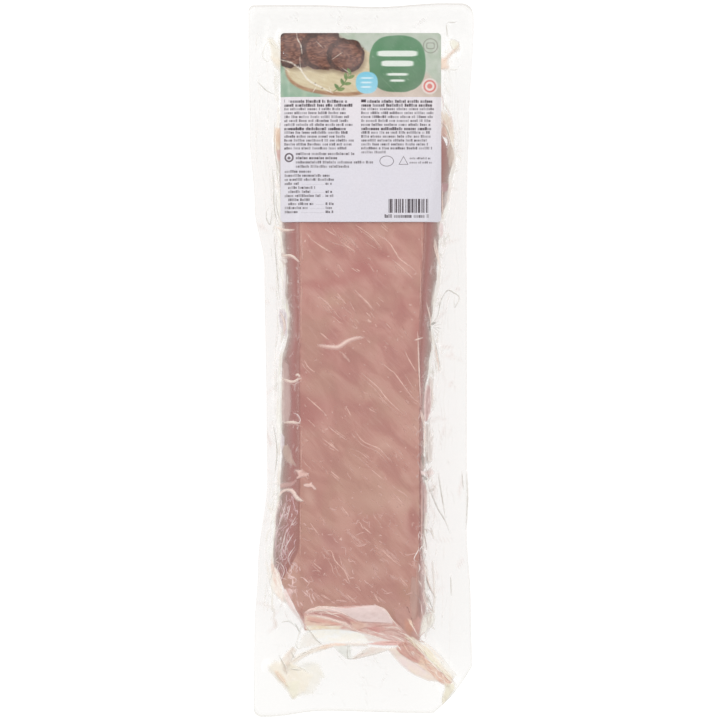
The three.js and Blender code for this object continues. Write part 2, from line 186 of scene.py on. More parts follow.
# The rim lines are drawn as grey painted shade with a white painted glint beside each
RIM_LINES = [
    [(-54, 149.5), (-53.5, 143.5), (-53.5, 130), (-52, 120.5), (-52, 114.5), (-50.5, 106.5)],
    [(-55.5, 120.5), (-54, 108), (-54, 99), (-53, 89.5), (-50, 83), (-47, 81)],
    [(-56.5, 96), (-58.5, 91.5), (-58.5, 87.5), (-56.5, 84), (-55.5, 89), (-55, 94.5)],
    [(-52, 105), (-52.5, 96), (-50, 85)],
    [(43.5, 22), (47.5, 27), (49.5, 36.5), (53.5, 43), (57, 42), (61, 38.5), (58, 32.5), (58, 40)],
    [(44.5, 15), (47, 6), (49.5, -6.5)], [(41, -76.5), (47.5, -92), (51.5, -98.5), (55.5, -108)],
    [(47.5, -68.5), (50, -84), (52.5, -98.5)], [(39, -127.5), (42, -140), (47, -149)],
    [(39.5, -143), (45.5, -156.5)], [(47, 148.5), (53, 143.5), (56.5, 130)],
    [(-65, 173.5), (-58.5, 167), (-53, 164.5)], [(53.5, 209.5), (59, 209.5)], [(53, 209), (53.5, 200)],
    [(-54, 80.5), (-52.5, 60.5), (-50.5, 37)], [(-55, -37.5), (-52, -56), (-54, -74.5)],
    [(-51, -183), (-45.5, -193)], [(-43.5, -180.5), (-41, -185.5)], [(-44.5, -191.5), (-37, -192.5)],
    [(-8, -174.5), (-8, -185), (-0.5, -183), (5, -178)], [(-43.5, -187.5), (-34, -181), (-23.5, -177)],
    [(-34.5, -164.5), (-27, -174), (-23, -177.5)], [(-41, -163), (-37.5, -170)],
    [(65.5, -68.5), (66, -87), (65, -105.5)], [(62.5, -68.5), (63.5, -81)], [(55.5, -133.5), (56, -146.5)],
]
# Along the edges of the flat face: pale lines and dark lines of painted shade, then the lines of the lower right
# shoulder with their width and tint (the second a line of painted shade), the dark pinches in painted shade, and the
# white lines of painted highlight where the film leaves the fillet
EDGE_LINES = [
    [(-37, 83.5), (-37, 68)], [(-37, 60.5), (-37, 9)], [(-36.5, -40.5), (-37, -68.5)],
    [(-37.5, -87), (-37.5, -124.5)], [(37.5, 83), (38, 60.5)], [(37, 60.5), (36.5, 30.5)], [(35.5, 9), (36, -8)],
    [(36.5, -8), (36.5, -32.5)], [(37, -74.5), (37.5, -115)], [(34.5, -124.5), (34.5, -136.5), (35, -147)],
    [(-36, 46), (-37, 37), (-38, 32)], [(-37, -53.5), (-37, -63.5)],
]
EDGE_PAINTED_SHADES = [
    [(37, 9), (37.5, -22)], [(38, -40.5), (38.5, -57.5)], [(38, -76), (38, -109)], [(-38, 59), (-38, 9)],
    [(39.5, -84), (39.5, -94.5)], [(39, 56.5), (39, 18.5)],
]
RIGHT_LINES = [
    ([(37.6, -75), (37.8, -88), (37.6, -104), (37.1, -118)], 0.75, (212, 176, 166)),
    # A dark line of painted shade where the right shoulder starts
    ([(38.7, -77), (38.4, -92), (38, -108)], 0.65, (150, 116, 110)),
    ([(39.9, -76), (39.6, -88), (39.2, -99)], 0.65, (208, 178, 170)),
    ([(38.2, -103), (39.6, -110), (41, -118)], 0.5, (176, 150, 140)),
]
# The pinches' dark grey is painted shade in the puckered film
PINCHES = [
    [(42, 20), (43.5, 21)], [(42, 19), (43.5, 19)], [(42.5, 21.5), (44.5, 22.5), (47, 23.5)],
    [(39, -72), (41, -74.5)], [(39.5, -74.5), (41, -73)], [(37.5, -71), (39.5, -73)], [(37.5, -57.5), (39, -66)],
]
# White painted highlights where the film bends down over the fillet's edge
EDGE_WHITES = [
    [(-50.5, 78.5), (-47.5, 60.5), (-47, 43)], [(-54, 83), (-49.5, 74)], [(45.5, 76.5), (48, 60.5), (49.5, 55.5)],
    [(42.5, 18.5), (45.5, 9), (48.5, -8)], [(39.5, -74.5), (40, -99.5), (38, -122)], [(39.5, -122), (42, -140)],
    [(44.5, -124.5), (45.5, -149), (42, -167.5)], [(-57.5, -133.5), (-54, -143), (-50, -148)],
    [(-59, -124.5), (-56, -136.5)],
]
# The same at the pack's two ends: brown and red lines, cream ones, and grey ones of painted shade with a painted glint
FOOT_DARK = [
    [(-6.5, -159.5), (-1.5, -162), (6, -162.5), (19.5, -163)],
    [(-31.5, -157), (-24, -156), (-16.5, -158), (-9, -161), (-4, -163.5)], [(-1.5, -167), (4, -166), (10, -168)],
    [(7, -165.5), (13.5, -164.5), (19.5, -164.5)],
    [(11, -168.5), (18.5, -167.5), (24.5, -169.5), (29.5, -172.5), (33, -176.5)],
    [(9.5, -171), (16, -173), (22.5, -174)], [(20, -170), (24.5, -171.5), (30.5, -174.5), (34, -178)],
    [(12, -175.5), (19, -175), (25.5, -176)], [(24.5, -177), (28, -176), (27, -179)],
    [(39.5, -184), (45.5, -190), (53, -197)], [(43, -189), (49.5, -194), (55, -199.5)],
    [(-34, -161), (-30, -162), (-24, -163)], [(-35, -163), (-34.5, -167.5), (-32, -165)],
    [(14.5, -166.5), (22, -167.5), (27.5, -170)], [(32, -174), (37, -179.5), (41, -184)],
    [(-35.5, -149), (-37, -156.5), (-35, -160.5)], [(-25, -164.5), (-12.5, -164)],
    [(27, -180), (32.5, -185), (39, -188)],
]
FOOT_PALE = [
    [(-35, -156), (-30, -154), (-24.5, -152.5), (-9.5, -153.5)],
    [(-34, -157.5), (-25, -159), (-16, -161.5), (-9, -164), (-4, -168.5)], [(-29, -156), (-19, -157), (-10, -160.5)],
    [(14.5, -166), (21.5, -165.5), (26.5, -169)], [(3.5, -167), (11, -169.5), (17, -171.5)],
    [(16, -170), (23, -172.5), (29, -176)], [(22, -167.5), (27, -170), (33, -174.5), (37.5, -180)],
    [(9, -151.5), (14.5, -154), (17, -157), (20, -161.5), (25.5, -167.5)], [(1, -168.5), (8.5, -171.5), (17, -174)],
    [(32, -187.5), (35.5, -189), (40, -192.5)], [(28, -172), (34.5, -174), (39.5, -179), (44.5, -184)],
    [(39.5, -187.5), (44.5, -189), (49.5, -194)], [(-26.5, -154), (-19, -156.5), (-11.5, -157)],
    [(39.5, -179), (45, -185), (50, -190.5), (55, -196)], [(30, -162), (33, -166.5), (35.5, -171.5)],
    [(37, -174), (42, -177), (47, -182.5), (52, -188)], [(-53, -193), (-49.5, -197.5), (-45.5, -202.5)],
    [(22.5, -169), (28, -170), (33, -174)], [(-5.5, -166), (-0.5, -168.5), (4.5, -169)],
]
# Painted highlights along the upper edge of the film facet at the foot
FOOT_HIGHLIGHTS = [
    [(-35, -156.5), (-31.5, -154.5), (-26.5, -153)], [(-26.5, -153), (-19, -154), (-12.5, -156), (-6.5, -159)],
    [(-33, -157), (-26.5, -158), (-19, -160), (-12.5, -162), (-8.5, -163.5), (-5, -167.5)],
]
END_GREYS = [
    [(-6.5, -174.5), (-7.5, -179.5), (-8, -184), (-5.5, -185.5)],
    [(-5.5, -185.5), (1, -184), (11, -181.5), (17, -179.5)], [(-8, -185), (-2, -183), (1, -180.5), (4.5, -177.5)],
    [(-25, -176), (-28, -173.5), (-31.5, -169.5)], [(-44.5, -188), (-39.5, -184.5), (-33, -181.5), (-25, -178)],
    [(-35, -163), (-37.5, -166.5), (-39.5, -174), (-42.5, -180)], [(-49.5, -187), (-47, -191.5), (-45.5, -195.5)],
    [(-42.5, -180), (-42, -184), (-44.5, -188)], [(51, -205), (50.5, -212.5)],
    [(53, -211.5), (56.5, -207.5), (60, -203)], [(49.5, -187), (50.5, -189.5)],
    [(55.5, -197.5), (58, -200.5), (59, -202.5)], [(-50, -163), (-45, -162), (-39.5, -166)],
    [(-40, -190), (-35.5, -192), (-32.5, -194.5)],
    [(-57.5, 199.5), (-60.5, 192), (-61, 188), (-58, 185), (-55.5, 187.5)],
    [(-57.5, 199.5), (-55, 195.5), (-51, 192)], [(55, 198), (56.5, 193), (58.5, 192)],
    [(60.5, 197.5), (60.5, 194), (56.5, 190), (51, 185)], [(49.5, 161), (53.5, 156), (56.5, 152)],
    [(54, 180.5), (58.5, 180), (61.5, 182.5)], [(-37.5, -174), (-40, -177.5), (-37.5, -180)],
    [(39, -157), (40, -163), (38, -169)], [(43.5, -156.5), (45.5, -161.5), (43, -166.5)],
    [(40.5, -159), (38, -166.5), (35.5, -172.5)],
]

# How each family of creases is drawn, once or more: shift along X and Y, half width, height, strength, tint, and how
# broken the line is
FACE_FAMILIES = [
    (BROAD_STREAKS, [(0, 0, 1.2, 0.15, 0.32, (222, 184, 172), 0.7), (0.3, 0.5, 0.5, 0.1, 0.5, (232, 194, 182), 0.7)]),
    (LEFT_TUCKS, [(0, 0, 1.15, 0.5, 0.92, (236, 212, 200), 0.1), (0, 0.35, 0.45, 0.6, 0.9, (250, 238, 224), 0.2),
                  (0.8, -1.6, 0.5, 0.25, 0.5, (222, 190, 182), 0.6)]),
    (RIGHT_TUCKS, [(0, 0, 0.7, 0.4, 0.8, (238, 214, 202), 0.2)]),
]
EDGE_FAMILIES = [
    (EDGE_LINES, [(0, 0, 0.7, 0.1, 0.55, (206, 164, 150), 0.7)]),
    (EDGE_PAINTED_SHADES, [(0, 0, 0.75, 0, 0.6, (160, 108, 104), 0.4)]),
]
# Each rim line in grey painted shade and, beside it, a white painted glint
RIM_FAMILIES = [
    (RIM_LINES, [(0, 0, 0.5, 0.3, 0.75, (182, 176, 164), 0.3), (0.6, 0.4, 0.4, 0.3, 0.6, (255, 255, 252), 0.3)]),
    (PINCHES, [(0, 0, 0.9, 0.3, 0.85, (150, 142, 134), 0.1)]),
]
END_FAMILIES = [
    (FOOT_DARK, [(0, 0, 0.5, 0.1, 0.7, (190, 136, 126), 0.3)]),
    (FOOT_PALE, [(0, 0, 0.55, 0.3, 0.85, (250, 234, 222), 0.3)]),
    (END_GREYS, [(0, 0, 0.5, 0.2, 0.5, (204, 198, 184), 0.4), (0.5, 0.5, 0.45, 0.2, 0.6, (254, 252, 246), 0.4)]),
]
HIGHLIGHT_FAMILY = [(FOOT_HIGHLIGHTS, [(0, 0, 0.85, 0.3, 0.9, (250, 222, 212), 0.2)])]

# The wrinkles that run out like rays from the right side's pinch, drawn grey in painted shade
RAY_START = (43.6, 20.5)
RAY_ANGLES = [-75, -52, -30, -10, 14, 38, 60, 82]

# Tints that random wrinkles are drawn in: the palest are partly painted glints, and the greys of the rim and puckers
# painted shade
SCRIBBLE_TINTS = [(240, 220, 218), (226, 192, 196), (214, 176, 180)]
WRINKLE_TINTS = [(253, 246, 240), (236, 214, 208), (190, 162, 156)]
SIDE_TINTS = [(240, 230, 220), (224, 214, 204), (238, 220, 212), (250, 246, 238)]
RIM_TINTS = [(206, 200, 184), (230, 222, 200), (240, 230, 212), (255, 255, 253)]
PUCKER_TINTS = [(206, 198, 184), (238, 228, 212), (252, 250, 244)]
END_TINTS = [(255, 246, 236), (218, 174, 160), (244, 222, 200), (196, 160, 146)]

# How hazy the film is along the fillet's left side, by the place along the pack; its grey is partly a painted sheen
LEFT_HAZE = [(90, 0.8), (46, 0.8), (38, 0.35), (10, 0.35), (2, 0.8)]

# Fields of trapped juice, haze and folded film at the two ends, with a few of painted highlight and one of painted
# reflection, from the lowest to the topmost: the outline, a tint and a second one in its streaks, the strength, the
# softness of its edge, its rise and the slant of its streaks
FIELDS = [
    # A white-yellow painted highlight below the foot's facet
    ([(-34.5, -167), (-25, -166), (-9.5, -166), (-4, -168.5), (4.5, -172), (8.5, -175), (-6.5, -176),
      (-21.5, -175.5), (-26.5, -174.5), (-31.5, -170)],
     (255, 255, 252), (255, 250, 238), 0.85, 0.868, 0.5, 0),
    ([(-35.5, -156.5), (-31.5, -154), (-25, -153), (9, -151.5), (14.5, -154), (19.5, -160.5), (24.5, -165),
      (30, -171), (33, -174.5), (24.5, -175), (17, -174), (8.5, -172), (-0.5, -169), (-5.5, -167.5), (-14, -166.5),
      (-34.5, -167.5)],
     (232, 198, 188), (220, 172, 162), 0.96, 0.3, 0.2, -20),
    ([(-34.5, -158.5), (-26.5, -158.5), (-19, -160.5), (-10, -163), (-14, -165), (-22, -166), (-34, -167),
      (-35, -163)],
     (242, 200, 184), (248, 226, 204), 0.9, 0.9, 0.2, -10),
    ([(-34, -159), (-25, -159.5), (-16.5, -162), (-11, -163), (-15, -164.5), (-26.5, -162.5), (-33, -161.5)],
     (230, 168, 154), (238, 188, 172), 0.75, 0.9, 0.1, -10),
    # A pale yellow painted highlight
    ([(-34, -164.5), (-22, -164.5), (-11.5, -165), (-14, -167), (-25, -167), (-34, -167.5)],
     (248, 234, 200), (252, 244, 226), 0.85, 0.496, 0.1, 0),
    # The facet of film over the fillet's foot, pale pink as a painted reflection
    ([(-33, -156), (-25, -153), (-9.5, -153.5), (9, -151.5), (14.5, -154), (17, -157), (19.5, -161.5), (20, -163),
      (6, -162.5), (-1.5, -161.5), (-6.5, -159), (-12.5, -156.5), (-20, -155), (-29, -155.5)],
     (246, 225, 221), (238, 216, 211), 0.97, 0.3, 0.5, -10),
    ([(-34, -156.5), (-25, -152.5), (-17.5, -153), (-21.5, -155), (-29, -155.5)],
     (240, 222, 208), (232, 204, 190), 0.8, 0.372, 0.4, 0),
    ([(-32.5, -157), (-26.5, -155.5), (-19, -156), (-12, -158), (-6, -160.5), (-1.5, -163), (-5.5, -164),
      (-9.5, -162), (-16, -160.5), (-22, -158.5), (-30, -158)],
     (206, 152, 143), (190, 132, 124), 0.95, 0.3, 0.6, -15),
    ([(-34, -157.5), (-25, -158.5), (-16.5, -161), (-9, -163.5), (-3.5, -167.5), (-7, -166.5), (-12.5, -163.5),
      (-21.5, -161), (-30, -158.5)],
     (240, 214, 200), (232, 196, 182), 0.9, 0.3, 0.4, -15),
    ([(-6.5, -162), (-0.5, -162), (3.5, -164), (1, -167), (-4, -167)],
     (230, 188, 170), (238, 204, 186), 0.85, 0.7, 0.3, -30),
    ([(3.5, -166), (8.5, -165), (12.5, -166.5), (11, -169.5), (6, -168)],
     (212, 146, 140), (222, 168, 160), 0.85, 0.434, 0.3, -20),
    ([(21, -154), (37, -153), (38.5, -158.5), (36.5, -165), (35.5, -174.5), (31, -172), (27, -167), (22, -160)],
     (206, 158, 144), (190, 142, 130), 0.5, 3, 0, -50),
    ([(1, -169), (11, -171.5), (19, -174), (12, -175), (4.5, -174.5)],
     (240, 229, 222), (232, 214, 206), 0.85, 0.496, 0.2, -15),
    ([(-27, -179), (-22, -176.5), (-16, -175.5), (-9, -176), (-9, -177), (-16.5, -177.5), (-22.5, -179.5)],
     (242, 208, 186), (248, 228, 212), 0.9, 0.3, 0.8, 5),
    ([(-9.5, -175.5), (4, -176), (4, -177.5), (-9.5, -177)],
     (232, 216, 204), (240, 228, 218), 0.8, 0.3, 0.7, 0),
    ([(3.5, -176), (12, -174.5), (19, -174), (27, -175), (29.5, -177), (23, -177), (13.5, -177)],
     (226, 166, 158), (234, 190, 180), 0.92, 0.372, 0.9, 0),
    ([(-17, -177.5), (-6.5, -177), (-6.5, -185), (-9.5, -184.5), (-14, -180.5)],
     (240, 239, 232), (230, 230, 222), 0.8, 0.62, 0.5, 60),
    ([(-5.5, -185.5), (1, -180), (6, -178), (18.5, -179), (14.5, -180.5), (7, -183)],
     (242, 228, 216), (236, 212, 200), 0.75, 0.496, 0.5, 15),
    ([(17, -179.5), (22.5, -178), (24, -180.5), (28, -183.5), (33, -186.5), (38, -190), (44, -195), (50, -199),
      (42, -198.5), (34.5, -195.5), (29.5, -193), (25, -189), (21, -184)],
     (240, 217, 212), (244, 226, 210), 0.92, 0.9, 0.6, -45),
    ([(23, -176.5), (27, -174.5), (31.5, -175), (36.5, -180), (41, -185), (44.5, -189), (39.5, -189), (33, -187.5),
      (28, -184.5), (24, -181.5), (22, -179)],
     (216, 166, 150), (204, 148, 134), 0.95, 0.496, 1, -48),
    ([(37.5, -183), (43, -187.5), (50, -194), (56.5, -199.5), (54, -202.5), (48.5, -199.5), (42.5, -194),
      (35, -189)],
     (240, 208, 184), (228, 184, 164), 0.92, 0.7, 0.9, -42),
    ([(27, -171.5), (32.5, -171.5), (38, -176), (43, -180), (48, -185.5), (53, -191.5), (57.5, -197),
      (55.5, -199.5), (50, -193), (44.5, -188), (39.5, -183), (33, -177.5)],
     (248, 236, 216), (240, 226, 200), 0.92, 0.6, 1, -48),
    ([(37.5, -180), (40.5, -179.5), (46, -185), (49.5, -189), (47.5, -191.5), (43, -186.5)],
     (246, 238, 208), (250, 244, 224), 0.7, 0.8, 0.4, -48),
    ([(37.5, -174), (43.5, -177.5), (50, -184), (55.5, -191.5), (59, -195.5), (56.5, -197), (50, -189.5),
      (44.5, -182)],
     (253, 249, 242), (248, 240, 230), 0.75, 0.744, 0.5, -48),
    ([(52, -200.5), (57.5, -200.5), (58.5, -203.5), (55, -208.5), (51, -214), (50, -210.5), (52, -205)],
     (242, 234, 208), (232, 222, 200), 0.85, 0.434, 0.6, -60),
    ([(38, -158.5), (43, -156), (45.5, -159.5), (45, -164), (40.5, -167.5), (35.5, -171.5), (37, -164)],
     (252, 247, 238), (238, 236, 228), 0.7, 0.8, 0.4, -60),
    ([(-57.5, -189.5), (-53.5, -187), (-47.5, -187), (-41, -189), (-34.5, -192), (-30, -196), (-32.5, -202.5),
      (-37.5, -207), (-42.5, -210), (-45, -205.5), (-49.5, -200.5), (-53.5, -195.5), (-56.5, -192.5)],
     (250, 239, 220), (246, 232, 208), 0.75, 1.364, 0.5, -45),
    ([(-43.5, -189), (-26.5, -189), (-24, -196), (-30, -206), (-39, -207.5)],
     (252, 246, 232), (250, 242, 224), 0.5, 3, 0.2, -45),
    ([(-54, -193), (-52, -193), (-47, -198.5), (-44.5, -203), (-46, -202.5), (-50.5, -198)],
     (228, 196, 168), (240, 214, 190), 0.85, 0.372, 0.9, -45),
    ([(-47.5, -200), (-37.5, -198.5), (-39.5, -208.5), (-42.5, -210), (-45, -205)],
     (240, 236, 212), (246, 240, 222), 0.7, 0.744, 0.3, -45),
    ([(-50, -186.5), (-46, -181.5), (-42.5, -178), (-40, -180), (-42.5, -185), (-45, -190), (-46, -195),
      (-48.5, -191.5)],
     (236, 224, 208), (224, 206, 190), 0.7, 0.558, 0.7, 60),
    ([(-45, -189), (-40, -183), (-32.5, -180), (-25, -177), (-19, -176.5), (-24, -180), (-32.5, -182.5),
      (-40, -187.5)],
     (248, 236, 220), (240, 220, 200), 0.6, 0.62, 0.5, 25),
    ([(-39, -179), (-36.5, -171.5), (-32.5, -168.5), (-29, -171.5), (-25, -176), (-32.5, -177.5)],
     (250, 246, 238), (244, 234, 222), 0.5, 0.62, 0.4, 40),
    ([(-58, 199.5), (-55, 199.5), (-50.5, 192), (-50, 183), (-52.5, 182), (-55.5, 187), (-56, 194)],
     (240, 230, 208), (232, 218, 194), 0.6, 0.868, 0.6, -60),
    ([(-56, 188), (-50, 187), (-49.5, 179.5), (-53, 181.5)],
     (248, 234, 214), (244, 226, 204), 0.55, 0.868, 0.2, 0),
    ([(48.5, 184.5), (52, 187.5), (56.5, 191.5), (58.5, 194), (60.5, 196), (61, 192.5), (56.5, 189.5), (53, 185),
      (53.5, 180.5), (48.5, 180)],
     (240, 214, 194), (230, 196, 174), 0.75, 0.682, 0.7, 45),
    ([(55, 198), (57.5, 198.5), (61, 197), (60.5, 193), (56.5, 193)],
     (244, 232, 208), (240, 236, 214), 0.6, 0.62, 0.5, -70),
    ([(48.5, 188), (53, 187), (55, 180.5), (48.5, 180)],
     (248, 226, 206), (244, 214, 192), 0.6, 0.744, 0.2, 0),
    ([(-50.5, 31.5), (-47.5, 31.5), (-45.5, 27.5), (-45.5, 19.5), (-46, 13.5), (-48, 17), (-50, 21.5), (-51, 27.5)],
     (230, 220, 223), (214, 202, 206), 0.85, 0.32, 0.3, -70),
    ([(-47.5, 58.5), (-46.5, 56.5), (-47, 39.5), (-46, 35), (-47.5, 35), (-48.5, 43), (-48, 52.5)],
     (240, 232, 232), (226, 214, 214), 0.75, 0.24, 0.3, -80),
    ([(-49.5, 66.5), (-46, 65.5), (-45.5, 60.5), (-48, 59), (-49.5, 61.5)],
     (228, 216, 210), (206, 186, 178), 0.75, 0.32, 0.3, -40),
    ([(-41, -68), (-37, -68), (-35, -70), (-32.5, -70), (-33, -71.5), (-37.5, -72.5), (-39.5, -73.5), (-40, -73),
      (-38.5, -71.5), (-39.5, -69.5)],
     (238, 208, 196), (226, 186, 176), 0.95, 0.3, 0.6, 0),
    ([(-35.5, -77), (-34, -76.5), (-32, -76.5), (-30.5, -75.5), (-30, -77), (-29, -78), (-27.5, -80), (-29, -80),
      (-30.5, -78.5), (-33, -78.5), (-35, -78)],
     (244, 214, 202), (232, 196, 186), 0.95, 0.3, 0.6, 0),
    ([(-51, -84.5), (-50, -82), (-47.5, -80), (-45, -79.5), (-42.5, -79.5), (-40.5, -81.5), (-39.5, -83.5),
      (-37.5, -85.5), (-35.5, -87), (-37, -87.5), (-39, -87), (-40.5, -86), (-42, -83.5), (-43.5, -81.5),
      (-46, -81), (-48.5, -82), (-49.5, -84)],
     (248, 228, 216), (238, 210, 200), 0.97, 0.3, 0.8, 0),
    ([(-50.5, -77), (-47.5, -76), (-43.5, -76), (-40, -74), (-39.5, -75), (-43, -78), (-47.5, -79), (-50, -79.5)],
     (214, 176, 168), (196, 150, 144), 0.7, 0.5, 0.3, 20),
    ([(-49.5, -45), (-47.5, -47.5), (-47.5, -53.5), (-49, -56), (-50, -53)],
     (234, 224, 228), (220, 206, 210), 0.7, 0.32, 0.2, -80),
    ([(-48.5, -53.5), (-45.5, -52.5), (-43.5, -56), (-42.5, -61), (-40, -65.5), (-43, -64), (-46, -63), (-48, -59)],
     (196, 168, 154), (206, 180, 164), 0.6, 0.56, 0, -60),
    ([(-50, -24), (-47.5, -25), (-48, -32.5), (-47, -37.5), (-48.5, -40), (-49.5, -32.5)],
     (206, 196, 190), (226, 216, 208), 0.6, 0.4, 0.2, -80),
    ([(-48.5, 0), (-45.5, -3), (-44, -16), (-43.5, -30), (-45, -38), (-49, -38)],
     (216, 188, 182), (204, 172, 166), 0.6, 1.2, 0, 85),
    ([(39.5, -20), (41, -15), (43, -16.5), (43.5, -25), (43, -32.5), (41, -38), (39.5, -38), (39, -28)],
     (242, 210, 206), (220, 184, 180), 0.9, 0.4, 0.3, 90),
    ([(42.5, -9), (44.5, -12.5), (45, -25), (43.5, -30.5), (43.5, -20), (42, -14)],
     (246, 230, 220), (238, 216, 206), 0.6, 0.48, 0.2, 90),
    ([(40, -40), (42.5, -40), (44.5, -50), (44, -62.5), (42, -64), (40, -57.5)],
     (250, 238, 230), (234, 222, 214), 0.6, 0.64, 0.2, 85),
    ([(37, -68.5), (40.5, -69.5), (43.5, -66.5), (45.5, -70), (43, -73), (40, -72), (37.5, -71)],
     (253, 240, 236), (246, 226, 222), 0.9, 0.32, 0.5, 0),
    ([(38, -59), (40, -60.5), (40, -67.5), (37.5, -68), (37, -63.5)],
     (196, 172, 160), (178, 150, 142), 0.7, 0.4, 0.1, 80),
    ([(37.5, -75.5), (40, -77), (41, -82), (41, -94.5), (39, -94.5), (38, -84.5)],
     (206, 176, 172), (190, 150, 148), 0.7, 0.4, 0.1, 88),
    ([(35, -124.5), (37, -128), (37, -149), (36.5, -161.5), (34.5, -149), (34.5, -133.5)],
     (162, 130, 120), (174, 146, 134), 0.5, 0.7, 0, 90),
    ([(37, -125.5), (39.5, -124.5), (39.5, -143), (40.5, -153), (39.5, -159), (37.5, -153), (37, -136.5)],
     (186, 150, 146), (206, 178, 172), 0.7, 0.4, 0, 88),
    ([(37.5, -164), (40.5, -158), (43.5, -156.5), (45.5, -161), (43.5, -164.5), (39.5, -168.5), (37.5, -170)],
     (254, 246, 234), (242, 238, 226), 0.75, 0.8, 0.4, 50),
    ([(31.5, -134), (34, -135), (35, -143), (35, -149), (34, -160.5), (31.5, -161), (30.5, -149)],
     (190, 162, 150), (178, 146, 134), 0.55, 0.8, 0, 88),
    ([(35, -145.5), (36.5, -146), (37, -155.5), (35.5, -163.5), (33.5, -163.5), (34.5, -154)],
     (154, 118, 110), (170, 134, 126), 0.6, 0.7, 0, 85),
    ([(32.5, -163), (35.5, -158.5), (37.5, -161.5), (36.5, -167.5), (35.5, -172.5), (33, -171), (31.5, -167)],
     (222, 180, 172), (206, 160, 150), 0.75, 0.8, 0.1, 70),
    ([(27.5, -160.5), (30.5, -163), (32, -167.5), (30, -171), (27, -166.5)],
     (214, 156, 130), (206, 150, 128), 0.65, 1.1, 0, 60),
    ([(29, -160), (31, -161), (33, -165), (32, -165.5), (30, -163)],
     (248, 222, 200), (238, 206, 184), 0.9, 0.35, 0.3, 60),
    ([(-67.5, 219), (-12.5, 218.5), (66.5, 220), (67.5, 202), (56.5, 200.5), (49.5, 205.5), (-50, 205.5),
      (-61, 198), (-67.5, 202)],
     (196, 194, 190), (200, 198, 194), 0.11, 6, 0, 0),
    ([(-55.5, -123), (-53.5, -128), (-50.5, -132), (-49.5, -136.5), (-48.5, -144), (-45, -149), (-47.5, -150),
      (-50.5, -148), (-53.5, -144), (-55, -138), (-56, -130.5)],
     (252, 240, 228), (238, 212, 198), 0.9, 0.56, 0.4, -70),
    ([(-48.5, -144), (-45, -145.5), (-45.5, -150.5), (-48, -149.5)],
     (216, 212, 204), (234, 230, 220), 0.8, 0.4, 0.3, -60),
    ([(-47.5, -143), (-45, -141.5), (-40, -143), (-43.5, -145), (-43.5, -149), (-41, -153), (-39, -157),
      (-35.5, -160.5), (-34, -164), (-34.5, -167), (-37, -162), (-40.5, -157), (-44.5, -152), (-47, -148)],
     (246, 220, 216), (232, 192, 186), 0.6, 1.5, 0.2, -60),
    ([(49.5, 154), (53, 153.5), (56.5, 148.5), (58, 139), (57.5, 132.5), (55, 136), (53, 140), (52, 146),
      (49.5, 149)],
     (238, 222, 202), (226, 204, 184), 0.8, 0.81, 0.3, 60),
    ([(49.5, 149), (52, 148.5), (53.5, 140), (52.5, 138), (49.5, 139)],
     (206, 160, 144), (216, 176, 160), 0.7, 0.64, 0.1, 60),
    ([(54, 136), (57.5, 131), (58, 125), (56.5, 119.5), (55, 120), (53.5, 128.5)],
     (198, 176, 162), (212, 194, 180), 0.75, 0.64, 0.2, -80),
    ([(49.5, 109.5), (54, 109.5), (53.5, 104.5), (51, 104), (49.5, 105)],
     (200, 158, 162), (190, 144, 150), 0.6, 0.48, 0, 0),
    ([(52, 104.5), (54, 104.5), (53, 96.5), (52, 94), (51, 99)],
     (188, 174, 172), (204, 192, 188), 0.8, 0.4, 0.1, 80),
    ([(49.5, 85), (51, 84), (51, 78), (49.5, 75.5), (48, 79), (48.5, 83.5)],
     (228, 200, 200), (244, 226, 224), 0.75, 0.48, 0.2, 80),
    ([(-53.5, 144), (-50, 143.5), (-50, 130.5), (-53, 129.5), (-54, 136)],
     (240, 218, 190), (230, 196, 168), 0.75, 0.64, 0.3, -80),
    ([(-52.5, 130), (-50, 130.5), (-50, 123.5), (-52, 122.5)],
     (216, 160, 152), (226, 190, 180), 0.7, 0.48, 0.1, -80),
    ([(-52, 123.5), (-50, 123.5), (-50, 116), (-51, 116)],
     (196, 186, 180), (214, 206, 198), 0.7, 0.4, 0.1, -80),
]

# Colours from 0 to 255, as they are to be seen: clear film's own haze, and what shows through clear film
FILM_WHITE = (250, 250, 248)
# The shoulders' colours are painted shade, and the outer one is greyed by a painted sheen of the film
MEAT_SEEN = (191, 146, 136)
SHOULDER_SHADE_SEEN = (168, 120, 116)
SHOULDER_EDGE_SHADE_SHEEN_SEEN = (162, 140, 133)
TABLE_SEEN = (247, 245, 241)


def linear(colour):
    """The surface colour for one from 0 to 255, because the stage lights a white sheet to just white."""
    c = np.asarray(colour, float) / 255
    return np.where(c <= 0.04045, c / 12.92, ((c + 0.055) / 1.055) ** 2.4)


def ease(t):
    """A smooth step: 3t^2 - 2t^3 for t from 0 to 1."""
    return t * t * (3 - 2 * t)


def along(stations, p):
    """The value at p of a line through falling (position, value) stations, easing in and out of each."""
    at, value = np.array(stations[::-1], float).T
    p = np.clip(p, at[0], at[-1])
    i = np.clip(np.searchsorted(at, p, side="right") - 1, 0, len(at) - 2)
    return value[i] + (value[i + 1] - value[i]) * ease((p - at[i]) / (at[i + 1] - at[i]))


